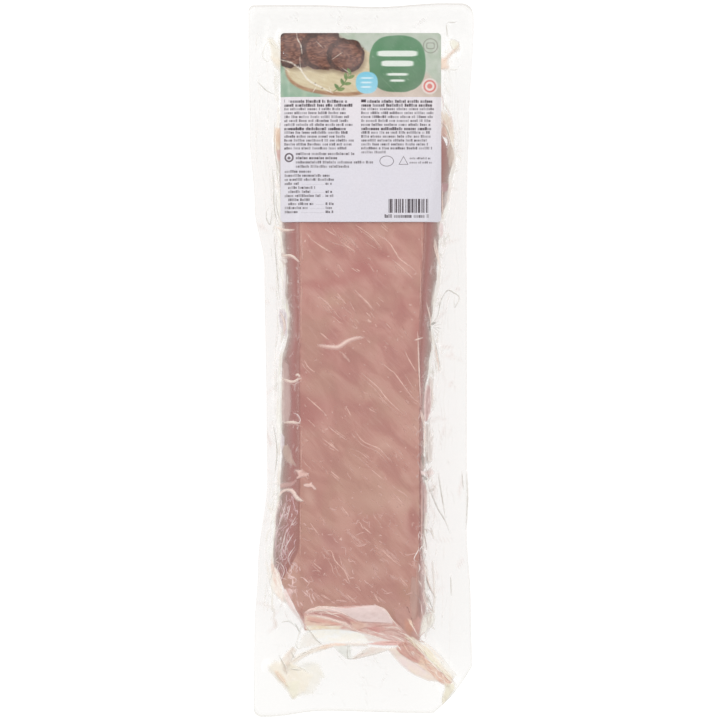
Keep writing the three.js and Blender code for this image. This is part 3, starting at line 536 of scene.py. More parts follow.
class Outline:
    """Four sides, each a function of the other coordinate, and how the corners between them are cut."""

    def __init__(self, left, right, foot, top, corners, inset_x=0.0, inset_y=0.0):
        self.left = lambda y: left(y) + inset_x
        self.right = lambda y: right(y) - inset_x
        self.foot = lambda x: foot(x) + inset_y
        self.top = lambda x: top(x) - inset_y
        self.corners = {
            name: (max(min(1, cut[0]), cut[0] - inset_x), max(min(1, cut[1]), cut[1] - inset_y), cut[2])
            for name, cut in corners.items()
        }

    def inside(self, a, b):
        """The point at the shares a from left to right and b from foot to top."""
        middle = np.zeros_like(a)
        y = self.foot(middle) + (self.top(middle) - self.foot(middle)) * b
        x = self.left(y) + (self.right(y) - self.left(y)) * a
        return x, self.foot(x) + (self.top(x) - self.foot(x)) * b

    def edge(self, a, b):
        """The same on the edge, where a point near a corner moves onto an ellipse or a straight cut."""
        x, y = self.inside(a, b)
        side_x = np.where(a < 0.5, -1, 1)
        side_y = np.where(b < 0.5, -1, 1)
        cuts = np.array([self.corners[k] for k in ("foot_left", "foot_right", "top_left", "top_right")])
        reach_x, reach_y, straight = np.moveaxis(cuts[(side_y > 0) * 2 + (side_x > 0) * 1], -1, 0)
        centre_y = np.where(side_y > 0, self.top(x), self.foot(x)) - side_y * reach_y
        centre_x = np.where(side_x > 0, self.right(centre_y), self.left(centre_y)) - side_x * reach_x
        beyond_x = (x - centre_x) * side_x
        beyond_y = (y - centre_y) * side_y
        on_end = (b == 0) | (b == 1)
        share = np.where(on_end, np.clip(beyond_x / reach_x, 0, 1) / 2, 1 - np.clip(beyond_y / reach_y, 0, 1) / 2)
        angle = share * np.pi / 2
        cut_x = centre_x + side_x * reach_x * (np.sin(angle) * (1 - straight) + share * straight)
        cut_y = centre_y + side_y * reach_y * (np.cos(angle) * (1 - straight) + (1 - share) * straight)
        cut = (beyond_x > 0) & (beyond_y > 0)
        return np.where(cut, cut_x, x), np.where(cut, cut_y, y)

    def core(self, a, b):
        """The same inside and on the edge: the corners' cuts are carried in, less and less to the far side."""
        none, all_of = np.zeros_like(a), np.ones_like(a)

        def shift(ea, eb):
            """How far a corner's cut moves a point on the edge."""
            return np.array(self.edge(ea, eb)) - np.array(self.inside(ea, eb))

        sides = shift(a, none) * (1 - b) + shift(a, all_of) * b + shift(none, b) * (1 - a) + shift(all_of, b) * a
        foot = shift(none, none) * (1 - a) + shift(all_of, none) * a
        top = shift(none, all_of) * (1 - a) + shift(all_of, all_of) * a
        return np.array(self.inside(a, b)) + sides - foot * (1 - b) - top * b


def pack_outline():
    """The pack's edge as seen from above."""
    return Outline(
        lambda y: along(PACK_LEFT, y), lambda y: along(PACK_RIGHT, y),
        lambda x: along(PACK_FOOT, x), lambda x: along(PACK_TOP, x), PACK_CORNERS,
    )


def ragged(y, phase):
    """How the fillet's side wanders, by up to about a millimetre."""
    slow = 0.55 * np.sin(y / 3.1 + phase) * np.sin(y / 7.7 + 1.3 * phase)
    return slow + 0.25 * np.sin(y / 1.3 + 2 * phase) * np.sin(y / 4.3 + phase)


def fillet_outline(share, clearance=0.0):
    """The fillet's outline, drawn in by a share of the rounding of its lower edges."""
    return Outline(
        lambda y: along(FILLET_LEFT, y) + ragged(y, 0.4), lambda y: along(FILLET_RIGHT, y) + ragged(y, 2.1),
        lambda x: along(FILLET_FOOT, x), lambda x: FILLET_TOP_END + 0 * x, FILLET_CORNERS,
        share * SIDE_ROUND + clearance, share * END_ROUND + clearance,
    )


def shoulder_shade_strip(x, y):
    """How far out on a long shoulder a place is, the mask of its painted shade: 0 on the flat face, 1 at the fillet's
    side.
    """
    left = along(FLAT_LEFT, y) - TAPER_WIDTH * ease(np.clip((TAPER_TOP - y) / TAPER_RUN, 0, 1))
    right = along(FLAT_RIGHT, y)
    beyond_left = (left - x) / np.maximum(LEAST_SHOULDER, left - along(FILLET_LEFT, y))
    beyond_right = (x - right) / np.maximum(LEAST_SHOULDER, along(FILLET_RIGHT, y) - right)
    fading = np.clip((y - STRIP_FOOT) / STRIP_FADE, 0, 1)
    return np.clip(np.maximum(beyond_left, beyond_right * fading), 0, 1)


def tone_under(x, y):
    """The colour that shows through clear film: the meat's face, its shoulders in painted shade and sheen, and the
    white table beyond.
    """
    strip = shoulder_shade_strip(x, y)[:, None]
    near, far = linear(SHOULDER_SHADE_SEEN), linear(SHOULDER_EDGE_SHADE_SHEEN_SEEN)
    shoulder = near + (far - near) * np.clip(strip * 2 - 0.8, 0, 1)
    tone = np.where(strip > 0.04, shoulder, linear(MEAT_SEEN))
    left, foot = along(FILLET_LEFT, y), along(FILLET_FOOT, x)
    reach = FILLET_CORNERS["foot_left"]
    beyond = (x < left) | (x > along(FILLET_RIGHT, y)) | (y < foot) | (y > FILLET_TOP_END)
    beyond |= (x - left) / reach[0] + (y - foot) / reach[1] < 1
    return np.where(beyond[:, None], linear(TABLE_SEEN), tone)


def ripple(x, y):
    """Slow waves of about a millimetre: three sines and cosines with wavelengths from 60 to 150 mm."""
    return (
        0.45 * np.sin(x / 15 + 1.3) * np.cos(y / 24 + 0.4)
        + 0.35 * np.sin(y / 11 + x / 31) + 0.25 * np.cos(x / 9 - y / 17)
    )


def rim_level(x, y):
    """The rim: flat along the sides and sagging towards the pack's corners."""
    return RIM_HEIGHT - RIM_DROOP * (np.abs(x) / 69) ** 2 * (np.abs(y) / 221) ** 6 + 0.8 * ripple(x, y)


def nearest_on_path(x, y, path):
    """The distance from each point to a broken line, and the share of the line's length at the nearest place."""
    path = np.asarray(path, float)
    lengths = np.hypot(*np.diff(path, axis=0).T)
    before = np.concatenate([[0], np.cumsum(lengths)])
    best = np.full(np.shape(x), 1e9)
    share = np.zeros(np.shape(x))
    for (x0, y0), (x1, y1), start, length in zip(path[:-1], path[1:], before, lengths):
        t = np.clip(((x - x0) * (x1 - x0) + (y - y0) * (y1 - y0)) / length**2, 0, 1)
        off = np.hypot(x - x0 - (x1 - x0) * t, y - y0 - (y1 - y0) * t)
        share = np.where(off < best, (start + t * length) / before[-1], share)
        best = np.minimum(best, off)
    return best, share


def folds_at(x, y):
    """The highest of the collapsed corner folds: rounded ridges along their paths, lower towards the tip."""
    best = np.zeros(np.shape(x))
    for path, width, height, tip in FOLDS:
        off, share = nearest_on_path(x, y, path)
        ridge = height * (1 + (tip - 1) * share) * np.clip(1 - (off / width) ** 2, 0, 1) ** 2
        best = np.maximum(best, ridge)
    return best


def shoulder_share(x, y):
    """How far up its shoulder the upper film is: 0 out on the rim, 1 on the flat face."""
    left = along(FILLET_LEFT, y)
    right = along(FILLET_RIGHT, y)
    by_side = np.minimum(
        (x - left) / (along(FLAT_LEFT, y) - left),
        (right - x) / np.maximum(LEAST_SHOULDER, right - along(FLAT_RIGHT, y)),
    )
    foot = along(FILLET_FOOT, x)
    by_end = np.minimum((TENT_END - y) / (TENT_END - FLAT_TOP_END), (y - foot) / (along(FLAT_FOOT, x) - foot))
    least = np.minimum(by_side, by_end)
    turned = 1 - np.hypot(1 - np.minimum(by_side, 1), 1 - np.minimum(by_end, 1))
    share = np.where((by_side < 1) & (by_end < 1), turned, least)
    return np.clip((share + CREST_SOFTNESS) / (1 + CREST_SOFTNESS), 0, 1)


def top_height(x, y):
    """The upper film: the rim's level, lifted over a rounded shoulder to the flat face, which sags to its ends.

    The lift is 1 - (1 - share^p)^2 with a little of the bare share mixed in, which leaves a faint edge at the face.
    """
    share = shoulder_share(x, y)
    rise = (1 - SHOULDER_BEVEL) * (1 - (1 - share**SHOULDER_POWER) ** 2) + SHOULDER_BEVEL * share
    sag = CROWN_SAG * (np.abs(y - FILLET_MIDDLE) / FILLET_HALF_LENGTH) ** 3
    crown = CROWN_HEIGHT - sag + 0.5 * ripple(x, y)
    level = rim_level(x, y)
    return level + (crown - level) * rise + FOLD_SHOWN_ABOVE * folds_at(x, y) * (1 - share)


def rim_underside(x, y, reach):
    """The lower film on the rim, which hangs in a throat where it leaves the fillet's side."""
    return top_height(x, y) - RIM_THICKNESS - THROAT * np.exp(-reach / THROAT_REACH) - folds_at(x, y)


def belly_depth(share):
    """How far down the belly has gone at a share of its rounding, as a squared-off quarter ellipse."""
    return (1 - (1 - share) ** BELLY_POWER) ** (1 / BELLY_POWER)


class Plan:
    """A surface's plan: a core grid, rings out to the fillet's side, then rings out over the rim.

    share is 1 on the core and 0 from the fillet's side outwards, and reach is the distance out from that side.
    """

    def __init__(self, columns, rows, inner, outer, clearance=0.0, core=True, crowded=False):
        i = np.concatenate([np.arange(columns), np.full(rows, columns), np.arange(columns, 0, -1), np.zeros(rows, int)])
        j = np.concatenate([np.zeros(columns, int), np.arange(rows), np.full(columns, rows), np.arange(rows, 0, -1)])
        a, b = i / columns, j / rows
        xs, ys, shares, reaches, quads, rings = [], [], [], [], [], []
        count = 0
        if core:
            gb, ga = np.meshgrid(np.arange(rows + 1) / rows, np.arange(columns + 1) / columns, indexing="ij")
            outline = fillet_outline(1, clearance)
            x, y = outline.core(ga, gb)
            index = np.arange(x.size).reshape(x.shape)
            quads.append(
                np.stack([index[:-1, :-1], index[:-1, 1:], index[1:, 1:], index[1:, :-1]], axis=-1).reshape(-1, 4)
            )
            rings.append(index[j, i])
            xs.append(x.ravel())
            ys.append(y.ravel())
            shares.append(np.ones(x.size))
            reaches.append(np.zeros(x.size))
            count = x.size
        steps = np.arange(inner - core, -1, -1) / max(inner, 1) if inner else []
        for share in 1 - np.cos(np.multiply(steps, np.pi / 2)) if crowded else steps:
            x, y = fillet_outline(share, clearance).edge(a, b)
            rings.append(count + np.arange(x.size))
            xs.append(x)
            ys.append(y)
            shares.append(np.full(x.size, share))
            reaches.append(np.zeros(x.size))
            count += x.size
        if outer:
            x0, y0 = fillet_outline(0).edge(a, b)
            x1, y1 = pack_outline().edge(a, b)
            for t in (np.arange(1 if inner else 0, outer + 1) / outer) ** 1.25:
                x, y = x0 + (x1 - x0) * t, y0 + (y1 - y0) * t
                rings.append(count + np.arange(x.size))
                xs.append(x)
                ys.append(y)
                shares.append(np.zeros(x.size))
                reaches.append(np.hypot(x - x0, y - y0))
                count += x.size
        for near, far in zip(rings[:-1], rings[1:]):
            quads.append(np.stack([near, far, np.roll(far, -1), np.roll(near, -1)], axis=-1))
        self.x, self.y = np.concatenate(xs), np.concatenate(ys)
        self.share, self.reach = np.concatenate(shares), np.concatenate(reaches)
        self.quads = np.concatenate(quads)
        self.last_ring = rings[-1]


class Film:
    """A film's height, and the tint and strength of the haze, fold or juice that shows in it at each point."""

    def __init__(self, x, y, z, veil=0.0, tint=FILM_WHITE):
        self.x, self.y, self.z = x, y, z.copy()
        self.veil = np.zeros(z.size) + veil
        self.tint = np.tile(linear(tint), (z.size, 1))

    def lay(self, near, strength, tint):
        """Lays a tint, one or one for each point, over what is there at the chosen points."""
        under = self.veil[near] * (1 - strength)
        total = np.maximum(under + strength, 1e-6)
        self.tint[near] = (self.tint[near] * under[:, None] + tint * strength[:, None]) / total[:, None]
        self.veil[near] = under + strength

    def close_to(self, points, margin):
        """Which of the film's points lie in the box round some others, with a margin."""
        low, high = points.min(axis=0) - margin, points.max(axis=0) + margin
        return np.flatnonzero((self.x > low[0]) & (self.x < high[0]) & (self.y > low[1]) & (self.y < high[1]))

    def add(self, path, width, height, strength, tint, broken=0.0):
        """A thin soft line: a low ridge along a path."""
        path = rounded(path)
        near = self.close_to(path, 2.5 * width)
        off, share = nearest_on_path(self.x[near], self.y[near], path)
        line = np.exp(-((off / width) ** 2)) * faded(path, share, broken)
        self.z[near] += height * line
        self.lay(near, strength * line, linear(tint))

    def thicken(self, under):
        """Makes all but the faintest haze opaque, in the colour that it has with what shows through it."""
        thick = self.veil + (1 - self.veil) * MOST_VEIL * ease(np.clip((self.veil - 0.12) / 0.2, 0, 1))
        share = np.clip(self.veil / np.maximum(thick, 1e-6), 0, 1)[:, None]
        self.tint = under + (self.tint - under) * share
        self.veil = thick

    def fold(self, path, width, height, strength, tint):
        """A standing fold along a path, flat on its crest and thin at both ends."""
        path = rounded(path)
        near = self.close_to(path, 3 * width)
        off, share = nearest_on_path(self.x[near], self.y[near], path)
        taper = np.sin(np.pi * np.clip(share, 0.01, 0.99)) ** 0.6
        profile = np.exp(-((off / (width * (0.4 + 0.6 * taper))) ** 3)) * taper
        self.z[near] += height * profile
        self.lay(near, strength * profile, linear(tint))

    def field(self, outline, tint, second, strength, softness, rise, slant):
        """A field inside a closed outline, with a soft edge and streaks of the second tint along its slant."""
        closed = np.array(list(outline) + [outline[0]], float)
        near = self.close_to(closed, 3 * softness)
        if near.size == 0:
            return
        x, y = self.x[near], self.y[near]
        off, _ = nearest_on_path(x, y, closed)
        inside = np.zeros(x.size, bool)
        for (x0, y0), (x1, y1) in zip(closed[:-1], closed[1:]):
            if y0 != y1:
                inside ^= ((y0 > y) != (y1 > y)) & (x < (x1 - x0) * (y - y0) / (y1 - y0) + x0)
        turn = np.radians(slant)
        run, rise_across = x * np.cos(turn) + y * np.sin(turn), y * np.cos(turn) - x * np.sin(turn)
        streaks = 0.6 * mottle(run / 5, rise_across, 1.7, 11) + 0.4 * mottle(run / 2, rise_across, 0.9, 12)
        depth = np.where(inside, off, -off) + 0.8 * softness * (streaks - 0.5)
        shown = ease(np.clip(depth / softness / 2 + 0.5, 0, 1))
        share = np.clip((streaks - 0.3) / 0.4, 0, 1)[:, None]
        self.z[near] += (rise + 0.35 * (streaks - 0.5)) * shown
        mixed = linear(tint) * (1 - share) + linear(second) * share
        self.lay(near, strength * shown * (0.88 + 0.12 * share[:, 0]), mixed)


class Strips:
    """Crisp creases in the film, each a narrow strip on its path with a flat pale crest, partly a painted glint, and
    clear edges.
    """

    ACROSS = np.array([-1, -0.4, 0.4, 1])
    CREST = np.array([0, 1, 1, 0])

    def __init__(self):
        self.x, self.y, self.lift, self.crest, self.strength, self.tint, self.quads = [], [], [], [], [], [], []
        self.count = 0

    def add(self, path, width, height, strength, tint, broken=0.0):
        """One strip: four points across its path at each step, as wide and high as the line is strong there."""
        path = rounded(path)
        before = np.concatenate([[0], np.cumsum(np.hypot(*np.diff(path, axis=0).T))])
        share = np.linspace(0, 1, int(np.clip(before[-1] / 0.8, 5, 60)) + 1)
        x = np.interp(share * before[-1], before, path[:, 0])
        y = np.interp(share * before[-1], before, path[:, 1])
        along_x, along_y = np.gradient(x), np.gradient(y)
        size = np.maximum(np.hypot(along_x, along_y), 1e-6)
        line = faded(path, share, broken)
        across = (width * (0.25 + 0.75 * line))[:, None] * self.ACROSS
        self.x.append((x[:, None] - (along_y / size)[:, None] * across).ravel())
        self.y.append((y[:, None] + (along_x / size)[:, None] * across).ravel())
        self.lift.append((0.07 + height * line[:, None] * self.CREST).ravel())
        self.crest.append(np.tile(self.CREST, share.size))
        self.strength.append(np.repeat(strength * line, 4))
        self.tint.append(np.tile(linear(tint), (share.size * 4, 1)))
        index = self.count + np.arange(share.size * 4).reshape(-1, 4)
        self.quads.append(
            np.stack([index[:-1, 1:], index[:-1, :-1], index[1:, :-1], index[1:, 1:]], axis=-1).reshape(-1, 4)
        )
        self.count += index.size


def faded(path, share, broken):
    """How strong a line is along its way: nothing at both ends, and waves between if it is broken."""
    length = np.hypot(*np.diff(path, axis=0).T).sum()
    phase = 5 * path[0].sum() + path[-1].sum()
    waves = np.sin(share * length / 1.1 + phase) * np.sin(share * length / 2.7 + 2 * phase)
    return np.sin(np.pi * np.clip(share, 0, 1)) ** 0.6 * (1 - broken * (0.5 + 0.5 * waves))


def rounded(path, steps=5):
    """A path through the same points as a Catmull-Rom curve."""
    p = np.asarray(path, float)
    if len(p) < 3:
        return p
    p = np.vstack([2 * p[0] - p[1], p, 2 * p[-1] - p[-2]])
    t = np.arange(steps)[:, None] / steps
    parts = [
        0.5 * (2 * b + (c - a) * t + (2 * a - 5 * b + 4 * c - d) * t**2 + (3 * b - a - 3 * c + d) * t**3)
        for a, b, c, d in zip(p[:-3], p[1:-2], p[2:-1], p[3:])
    ]
    return np.vstack(parts + [p[-2:-1]])


def under_label(x, y, margin):
    """Whether a place is under the label, and at least the margin in from its edge."""
    return (x > LABEL_LEFT + margin) & (x < LABEL_RIGHT - margin) & (y > LABEL_FOOT + margin) & (y < LABEL_TOP - margin)


def shifted(path, x, y):
    """The same path a little to the side."""
    return [(px + x, py + y) for px, py in path]


def bent(middle, angle, length, rng, bend=0.07):
    """A slightly bent path of the given length about its middle."""
    step = 0.5 * length * np.array([np.cos(angle), np.sin(angle)])
    return [middle - step, middle - 0.3 * step + rng.normal(0, bend * length, 2),
            middle + 0.4 * step + rng.normal(0, bend * length, 2), middle + step]


def draw_families(strips, families):
    """Lays every path of each family, once for each way in which the family is drawn."""
    for paths, lines in families:
        for path in paths:
            for across, up, *line in lines:
                strips.add(shifted(path, across, up), *line)


def face_creases(strips):
    """The creases over the fillet: those that the pack shows, then families of fine ones along the grain."""
    rng = np.random.default_rng(11)
    for path in STREAKS:
        strips.add(path, 0.62, 0.2, rng.uniform(0.7, 0.95), (230, 190, 176), 0.4)
        if rng.random() < 0.6:
            beside = shifted(path, *rng.uniform(-1.8, 1.8, 2))
            strips.add(beside, 0.5, 0.12, rng.uniform(0.35, 0.6), (226, 186, 172), 0.6)
    draw_families(strips, FACE_FAMILIES)
    for path in SCRIBBLES:
        strips.add(path, 0.55, 0.3, 0.85, (238, 220, 216), 0.35)
        strips.add(shifted(path, *rng.uniform(-1.6, 1.6, 2)), 0.45, 0.2, 0.55, (226, 200, 200), 0.6)
    draw_families(strips, EDGE_FAMILIES)
    for path, width, tint in RIGHT_LINES:
        strips.add(path, width, 0.1, 0.9, tint, 0.2)
    for _ in range(105):
        middle = np.array([rng.uniform(-35, 35), rng.uniform(-150, 83)])
        angle = np.radians(rng.normal(-44, 8))
        length = rng.gamma(2.2, 2.6) + 1.5
        strength = rng.beta(1.4, 1.8) * 0.8 + 0.12
        for _ in range(1 + rng.poisson(0.9)):
            place = middle + rng.normal(0, 1, 2) * (1.9, 2.2)
            path = bent(place, angle + rng.normal(0, 0.08), length * rng.uniform(0.4, 1.2), rng, 0.035)
            strips.add(path, rng.uniform(0.4, 0.62), rng.uniform(0.05, 0.16), strength * rng.uniform(0.6, 1.2),
                       (228, 188, 174), 0.6)
    for _ in range(130):
        middle = np.array([rng.uniform(-36, 36), rng.uniform(-151, 83)])
        path = bent(middle, rng.uniform(0, np.pi), rng.uniform(0.8, 2.6), rng, 0.12)
        strips.add(path, rng.uniform(0.4, 0.7), 0.08, rng.beta(1.4, 2) * 0.9, (230, 192, 180), 0.3)
    for _ in range(70):
        middle = np.array([rng.uniform(-36, 34), -151 + 62 * rng.beta(1.2, 1.6)])
        path = bent(middle, np.radians(rng.normal(-30, 35)), rng.uniform(2, 7), rng, 0.16)
        strips.add(path, rng.uniform(0.45, 0.8), 0.1, rng.uniform(0.15, 0.7), (228, 190, 180), 0.4)


def side_scribbles(strips):
    """Short bright scribbles, partly painted glints, that crowd the lower left shoulder, and the wrinkles in the corner
    below it.
    """
    rng = np.random.default_rng(41)
    for _ in range(64):
        y = -84 - 48 * rng.beta(1.1, 1.1)
        left = along(FILLET_LEFT, y)
        middle = np.array([left + 1 + (along(FLAT_LEFT, y) - left - 2) * rng.beta(1.1, 1.5), y])
        path = bent(middle, np.radians(rng.normal(76, 24)), rng.gamma(2.4, 1.7) + 1.4, rng, 0.11)
        tint = SCRIBBLE_TINTS[rng.integers(3)]
        strips.add(path, rng.uniform(0.35, 0.6), 0.12, rng.uniform(0.45, 1), tint, 0.35)
    for _ in range(34):
        y = rng.uniform(-158, -126)
        left = max(along(FILLET_LEFT, y), -54 + 0.52 * (-128 - y))
        middle = np.array([left + 1.5 + rng.beta(1, 1.6) * 15, y])
        path = bent(middle, np.radians(rng.choice([-38, 72]) + rng.normal(0, 17)), rng.uniform(1.6, 8), rng, 0.08)
        strips.add(path, rng.uniform(0.5, 0.85), 0.12, rng.uniform(0.35, 0.95), (244, 214, 208), 0.45)


def right_wrinkles(strips):
    """Short bright wrinkles, partly painted glints, that hug the fillet's lower right side, now inside and now outside
    its edge.
    """
    rng = np.random.default_rng(67)
    for _ in range(46):
        y = rng.uniform(-158, -104)
        middle = np.array([along(FILLET_RIGHT, y) + rng.normal(-0.8, 1.5), y])
        path = bent(middle, np.radians(rng.normal(96, 17)), rng.gamma(2.6, 1.8) + 1.6, rng, 0.1)
        tint = WRINKLE_TINTS[rng.integers(3)]
        strips.add(path, rng.uniform(0.35, 0.6), 0.15, rng.uniform(0.5, 1), tint, 0.3)


def shoulder_creases(film):
    """The fine creases over the fillet's shoulders, the haze, partly painted sheen, where the film leaves its edge, and
    its painted highlights.
    """
    rng = np.random.default_rng(23)
    for _ in range(150):
        side = rng.choice([-1, 1], p=[0.6, 0.4])
        y = rng.uniform(-160, 84)
        edge = along(FILLET_LEFT, y) if side < 0 else along(FILLET_RIGHT, y)
        middle = np.array([edge - side * rng.uniform(0.3, 10 if side < 0 else 4.5), y])
        path = bent(middle, np.radians(rng.normal(90, 32)), rng.uniform(1.2, 7), rng, 0.09)
        film.add(path, rng.uniform(0.35, 0.5), 0.12, rng.beta(1.4, 2) * 0.6, (226, 204, 198), 0.5)
    for _ in range(120):
        side = rng.choice([-1, 1])
        y = rng.uniform(-168, 150)
        length = rng.gamma(2, 4) + 2
        ys = y + length * np.array([-0.5, -0.15, 0.2, 0.5])
        edge = along(FILLET_LEFT, ys) if side < 0 else along(FILLET_RIGHT, ys)
        xs = edge + side * (rng.normal(0.5, 0.8) + rng.normal(0, 0.3, 4))
        wide = rng.uniform(0.35, 1.2)
        tint = SIDE_TINTS[rng.integers(4)]
        film.add(np.stack([xs, ys], axis=1), wide, 0.2, rng.uniform(0.3, 0.9) * (1.1 - 0.3 * wide), tint, 0.4)
    for path in EDGE_WHITES:
        film.add(path, 0.7, 0.3, 0.7, (248, 238, 228), 0.3)


def rim_creases(film):
    """The creases out on the rim: long runs along its sides, small pinches, and a few at its ends, in painted shade and
    glints.
    """
    rng = np.random.default_rng(5)
    for _ in range(420):
        side = rng.choice([-1, 1])
        y = rng.uniform(-150, 205)
        length = rng.gamma(2, 6) + 3
        share = rng.beta(0.75, 2.1)
        ys = y - length * np.array([0, 0.35, 0.7, 1])
        edge = along(PACK_LEFT, ys) if side < 0 else along(PACK_RIGHT, ys)
        inner = along(FILLET_LEFT, ys) if side < 0 else along(FILLET_RIGHT, ys)
        drift = rng.normal(0, 0.06) * np.array([0, 0.5, 0.8, 1])
        shares = np.clip(share + drift + rng.normal(0, 0.015, 4), 0.02, 0.96)
        tint = RIM_TINTS[rng.integers(4)]
        film.add(np.stack([inner + (edge - inner) * shares, ys], axis=1), rng.uniform(0.3, 0.5), rng.uniform(0.1, 0.3),
                 rng.uniform(0.1, 0.5) * (1.1 - 0.9 * share) * (1 if side < 0 else 0.5), tint, 0.7)
    for _ in range(120):
        side = rng.choice([-1, 1])
        y = rng.uniform(-165, 205)
        start = along(FILLET_LEFT, y) if side < 0 else along(FILLET_RIGHT, y)
        out, run = rng.uniform(1, 7), rng.normal(0, 7)
        path = [(start + side * 0.3, y), (start + side * out * 0.7, y + run * 0.3), (start + side * out, y + run)]
        tint = PUCKER_TINTS[rng.integers(3)]
        film.add(path, rng.uniform(0.3, 0.5), rng.uniform(0.1, 0.3), rng.uniform(0.15, 0.5), tint, 0.6)
    for _ in range(60):
        middle = np.array([rng.uniform(-60, 60), rng.choice([-1, 1]) * rng.uniform(176, 214)])
        path = bent(middle, rng.uniform(0, np.pi), rng.uniform(3, 16), rng, 0.08)
        film.add(path, rng.uniform(0.35, 0.5), 0.15, rng.uniform(0.06, 0.22), (226, 222, 210), 0.6)


def rim_lines(strips):
    """The lines that the pack shows out on its rim: each grey painted shade with a painted glint on its bright side,
    and the pinch on the right.
    """
    draw_families(strips, RIM_FAMILIES)
    for angle in np.radians(RAY_ANGLES):
        step = np.array([np.cos(angle), np.sin(angle)])
        start = np.array(RAY_START)
        ray = [start + step, start + 3 * step + (0, 0.4), start + 6.5 * step]
        strips.add(ray, 0.36, 0.2, 0.4, (190, 182, 172), 0.4)


def end_creases(strips):
    """The lines in the folded film at the pack's ends, the last of them painted highlights."""
    draw_families(strips, END_FAMILIES)
    rng = np.random.default_rng(57)
    for _ in range(70):
        along_fold = rng.uniform(0, 1)
        middle = np.array([26 + 28 * along_fold, -174 - 25 * along_fold]) + rng.normal(0, 1, 2) * (2.8, 2)
        path = bent(middle, np.radians(rng.normal(-44, 9)), rng.gamma(2.4, 2) + 1.5, rng, 0.05)
        tint = END_TINTS[rng.integers(4)]
        strips.add(path, rng.uniform(0.4, 0.65), 0.15, rng.uniform(0.3, 0.8), tint, 0.3)
    draw_families(strips, HIGHLIGHT_FAMILY)


def folded(film):
    """Adds the fine creases, the standing folds, and the fields of haze and juice."""
    shoulder_creases(film)
    rim_creases(film)
    for path in RAISED_FOLD:
        film.fold(path, 1.35, 0.9, 0.85, (232, 192, 182))
        film.fold(shifted(path, 0.1, 0.4), 0.7, 0.2, 0.6, (244, 222, 210))
    for outline, tint, second, strength, softness, rise, slant in FIELDS:
        film.field(outline, tint, second, strength, softness, rise, slant)
    return film


def mottle(x, y, size, seed):
    """Soft random patches: a value drawn at each corner of squares of the given size, eased in between."""
    drawn = np.random.default_rng(seed).random((128, 128))
    u, v = x / size, y / size
    i, j = np.floor(u).astype(int), np.floor(v).astype(int)
    s, t = ease(u - i), ease(v - j)
    near = drawn[i % 128, j % 128] * (1 - s) + drawn[(i + 1) % 128, j % 128] * s
    far = drawn[i % 128, (j + 1) % 128] * (1 - s) + drawn[(i + 1) % 128, (j + 1) % 128] * s
    return near * (1 - t) + far * t


class Value:
    """A shader socket that takes part in sums: an expression on it adds the Math nodes that it needs."""

    def __init__(self, finish, socket):
        self.finish, self.socket = finish, socket

    def __add__(self, other):
        return self.finish.maths("ADD", self, other)

    def __radd__(self, other):
        return self.finish.maths("ADD", other, self)

    def __sub__(self, other):
        return self.finish.maths("SUBTRACT", self, other)

    def __rsub__(self, other):
        return self.finish.maths("SUBTRACT", other, self)

    def __mul__(self, other):
        return self.finish.maths("MULTIPLY", self, other)

    def __rmul__(self, other):
        return self.finish.maths("MULTIPLY", other, self)

    def __truediv__(self, other):
        return self.finish.maths("DIVIDE", self, other)

    def power(self, other):
        """The same, raised to a power."""
        return self.finish.maths("POWER", self, other)

    def above(self, edge, soft=0.05):
        """0 below the edge and 1 above it, with a soft step of the given width."""
        return ((self - edge) / soft + 0.5).clamp()

    def clamp(self):
        """The same, held between 0 and 1."""
        return self.finish.maths("ADD", self, 0, clamp=True)


class Finish:
    """A material in the making."""

    def __init__(self, name):
        self.material = bpy.data.materials.new(name)
        self.material.use_nodes = True
        self.tree = self.material.node_tree
        self.tree.nodes.clear()
        self.place = self.node("ShaderNodeTexCoord").outputs["Object"]

    def node(self, kind, settings=None, sockets=None):
        """Adds a node: its settings first, then what its sockets hold or are linked to."""
        made = self.tree.nodes.new(kind)
        for name, value in (settings or {}).items():
            setattr(made, name, value)
        for name, value in (sockets or {}).items():
            socket = made.inputs[name]
            if isinstance(value, Value):
                value = value.socket
            if isinstance(value, bpy.types.NodeSocket):
                self.tree.links.new(value, socket)
            else:
                socket.default_value = value
        return made

    def maths(self, operation, *values, clamp=False):
        """One Math node on one or two values."""
        made = self.node("ShaderNodeMath", {"operation": operation, "use_clamp": clamp}, dict(enumerate(values)))
        return Value(self, made.outputs[0])

    def colour(self, rgb):
        """A colour from 0 to 255 as a socket takes it."""
        return (*linear(rgb), 1.0)

    def blend(self, share, first, second):
        """The first colour, turning to the second as the share goes from 0 to 1."""
        made = self.node("ShaderNodeMix", {"data_type": "RGBA", "clamp_factor": True}, {0: share, 6: first, 7: second})
        return made.outputs[2]

    def stretched(self, scale, turn=0.0, shift=(0, 0, 0)):
        """Object coordinates shifted, turned about Z and stretched, for a pattern with a grain."""
        turned = self.node("ShaderNodeMapping", {}, {0: self.place, "Rotation": (0, 0, turn), "Location": shift})
        return self.node("ShaderNodeMapping", {}, {0: turned.outputs[0], "Scale": scale}).outputs[0]

    def noise(self, vector, detail, roughness=0.5, distortion=0.0):
        """Soft noise about one unit of the vector wide."""
        sockets = {"Vector": vector, "Scale": 1, "Detail": detail, "Roughness": roughness, "Distortion": distortion}
        return Value(self, self.node("ShaderNodeTexNoise", {}, sockets).outputs[0])

    def attribute(self, name):
        """What a piece holds at each of its points under this name."""
        return self.node("ShaderNodeAttribute", {"attribute_name": name})

    def bump(self, height, distance, strength):
        """A normal from a height: the distance is how far, in metres, a height of 1 stands up."""
        sockets = {"Height": height, "Distance": distance, "Strength": strength}
        return self.node("ShaderNodeBump", {}, sockets).outputs[0]

    def show(self, shader):
        """Puts the shader on the surface, and hands over the finished material."""
        self.node("ShaderNodeOutputMaterial", {}, {"Surface": shader})
        return self.material


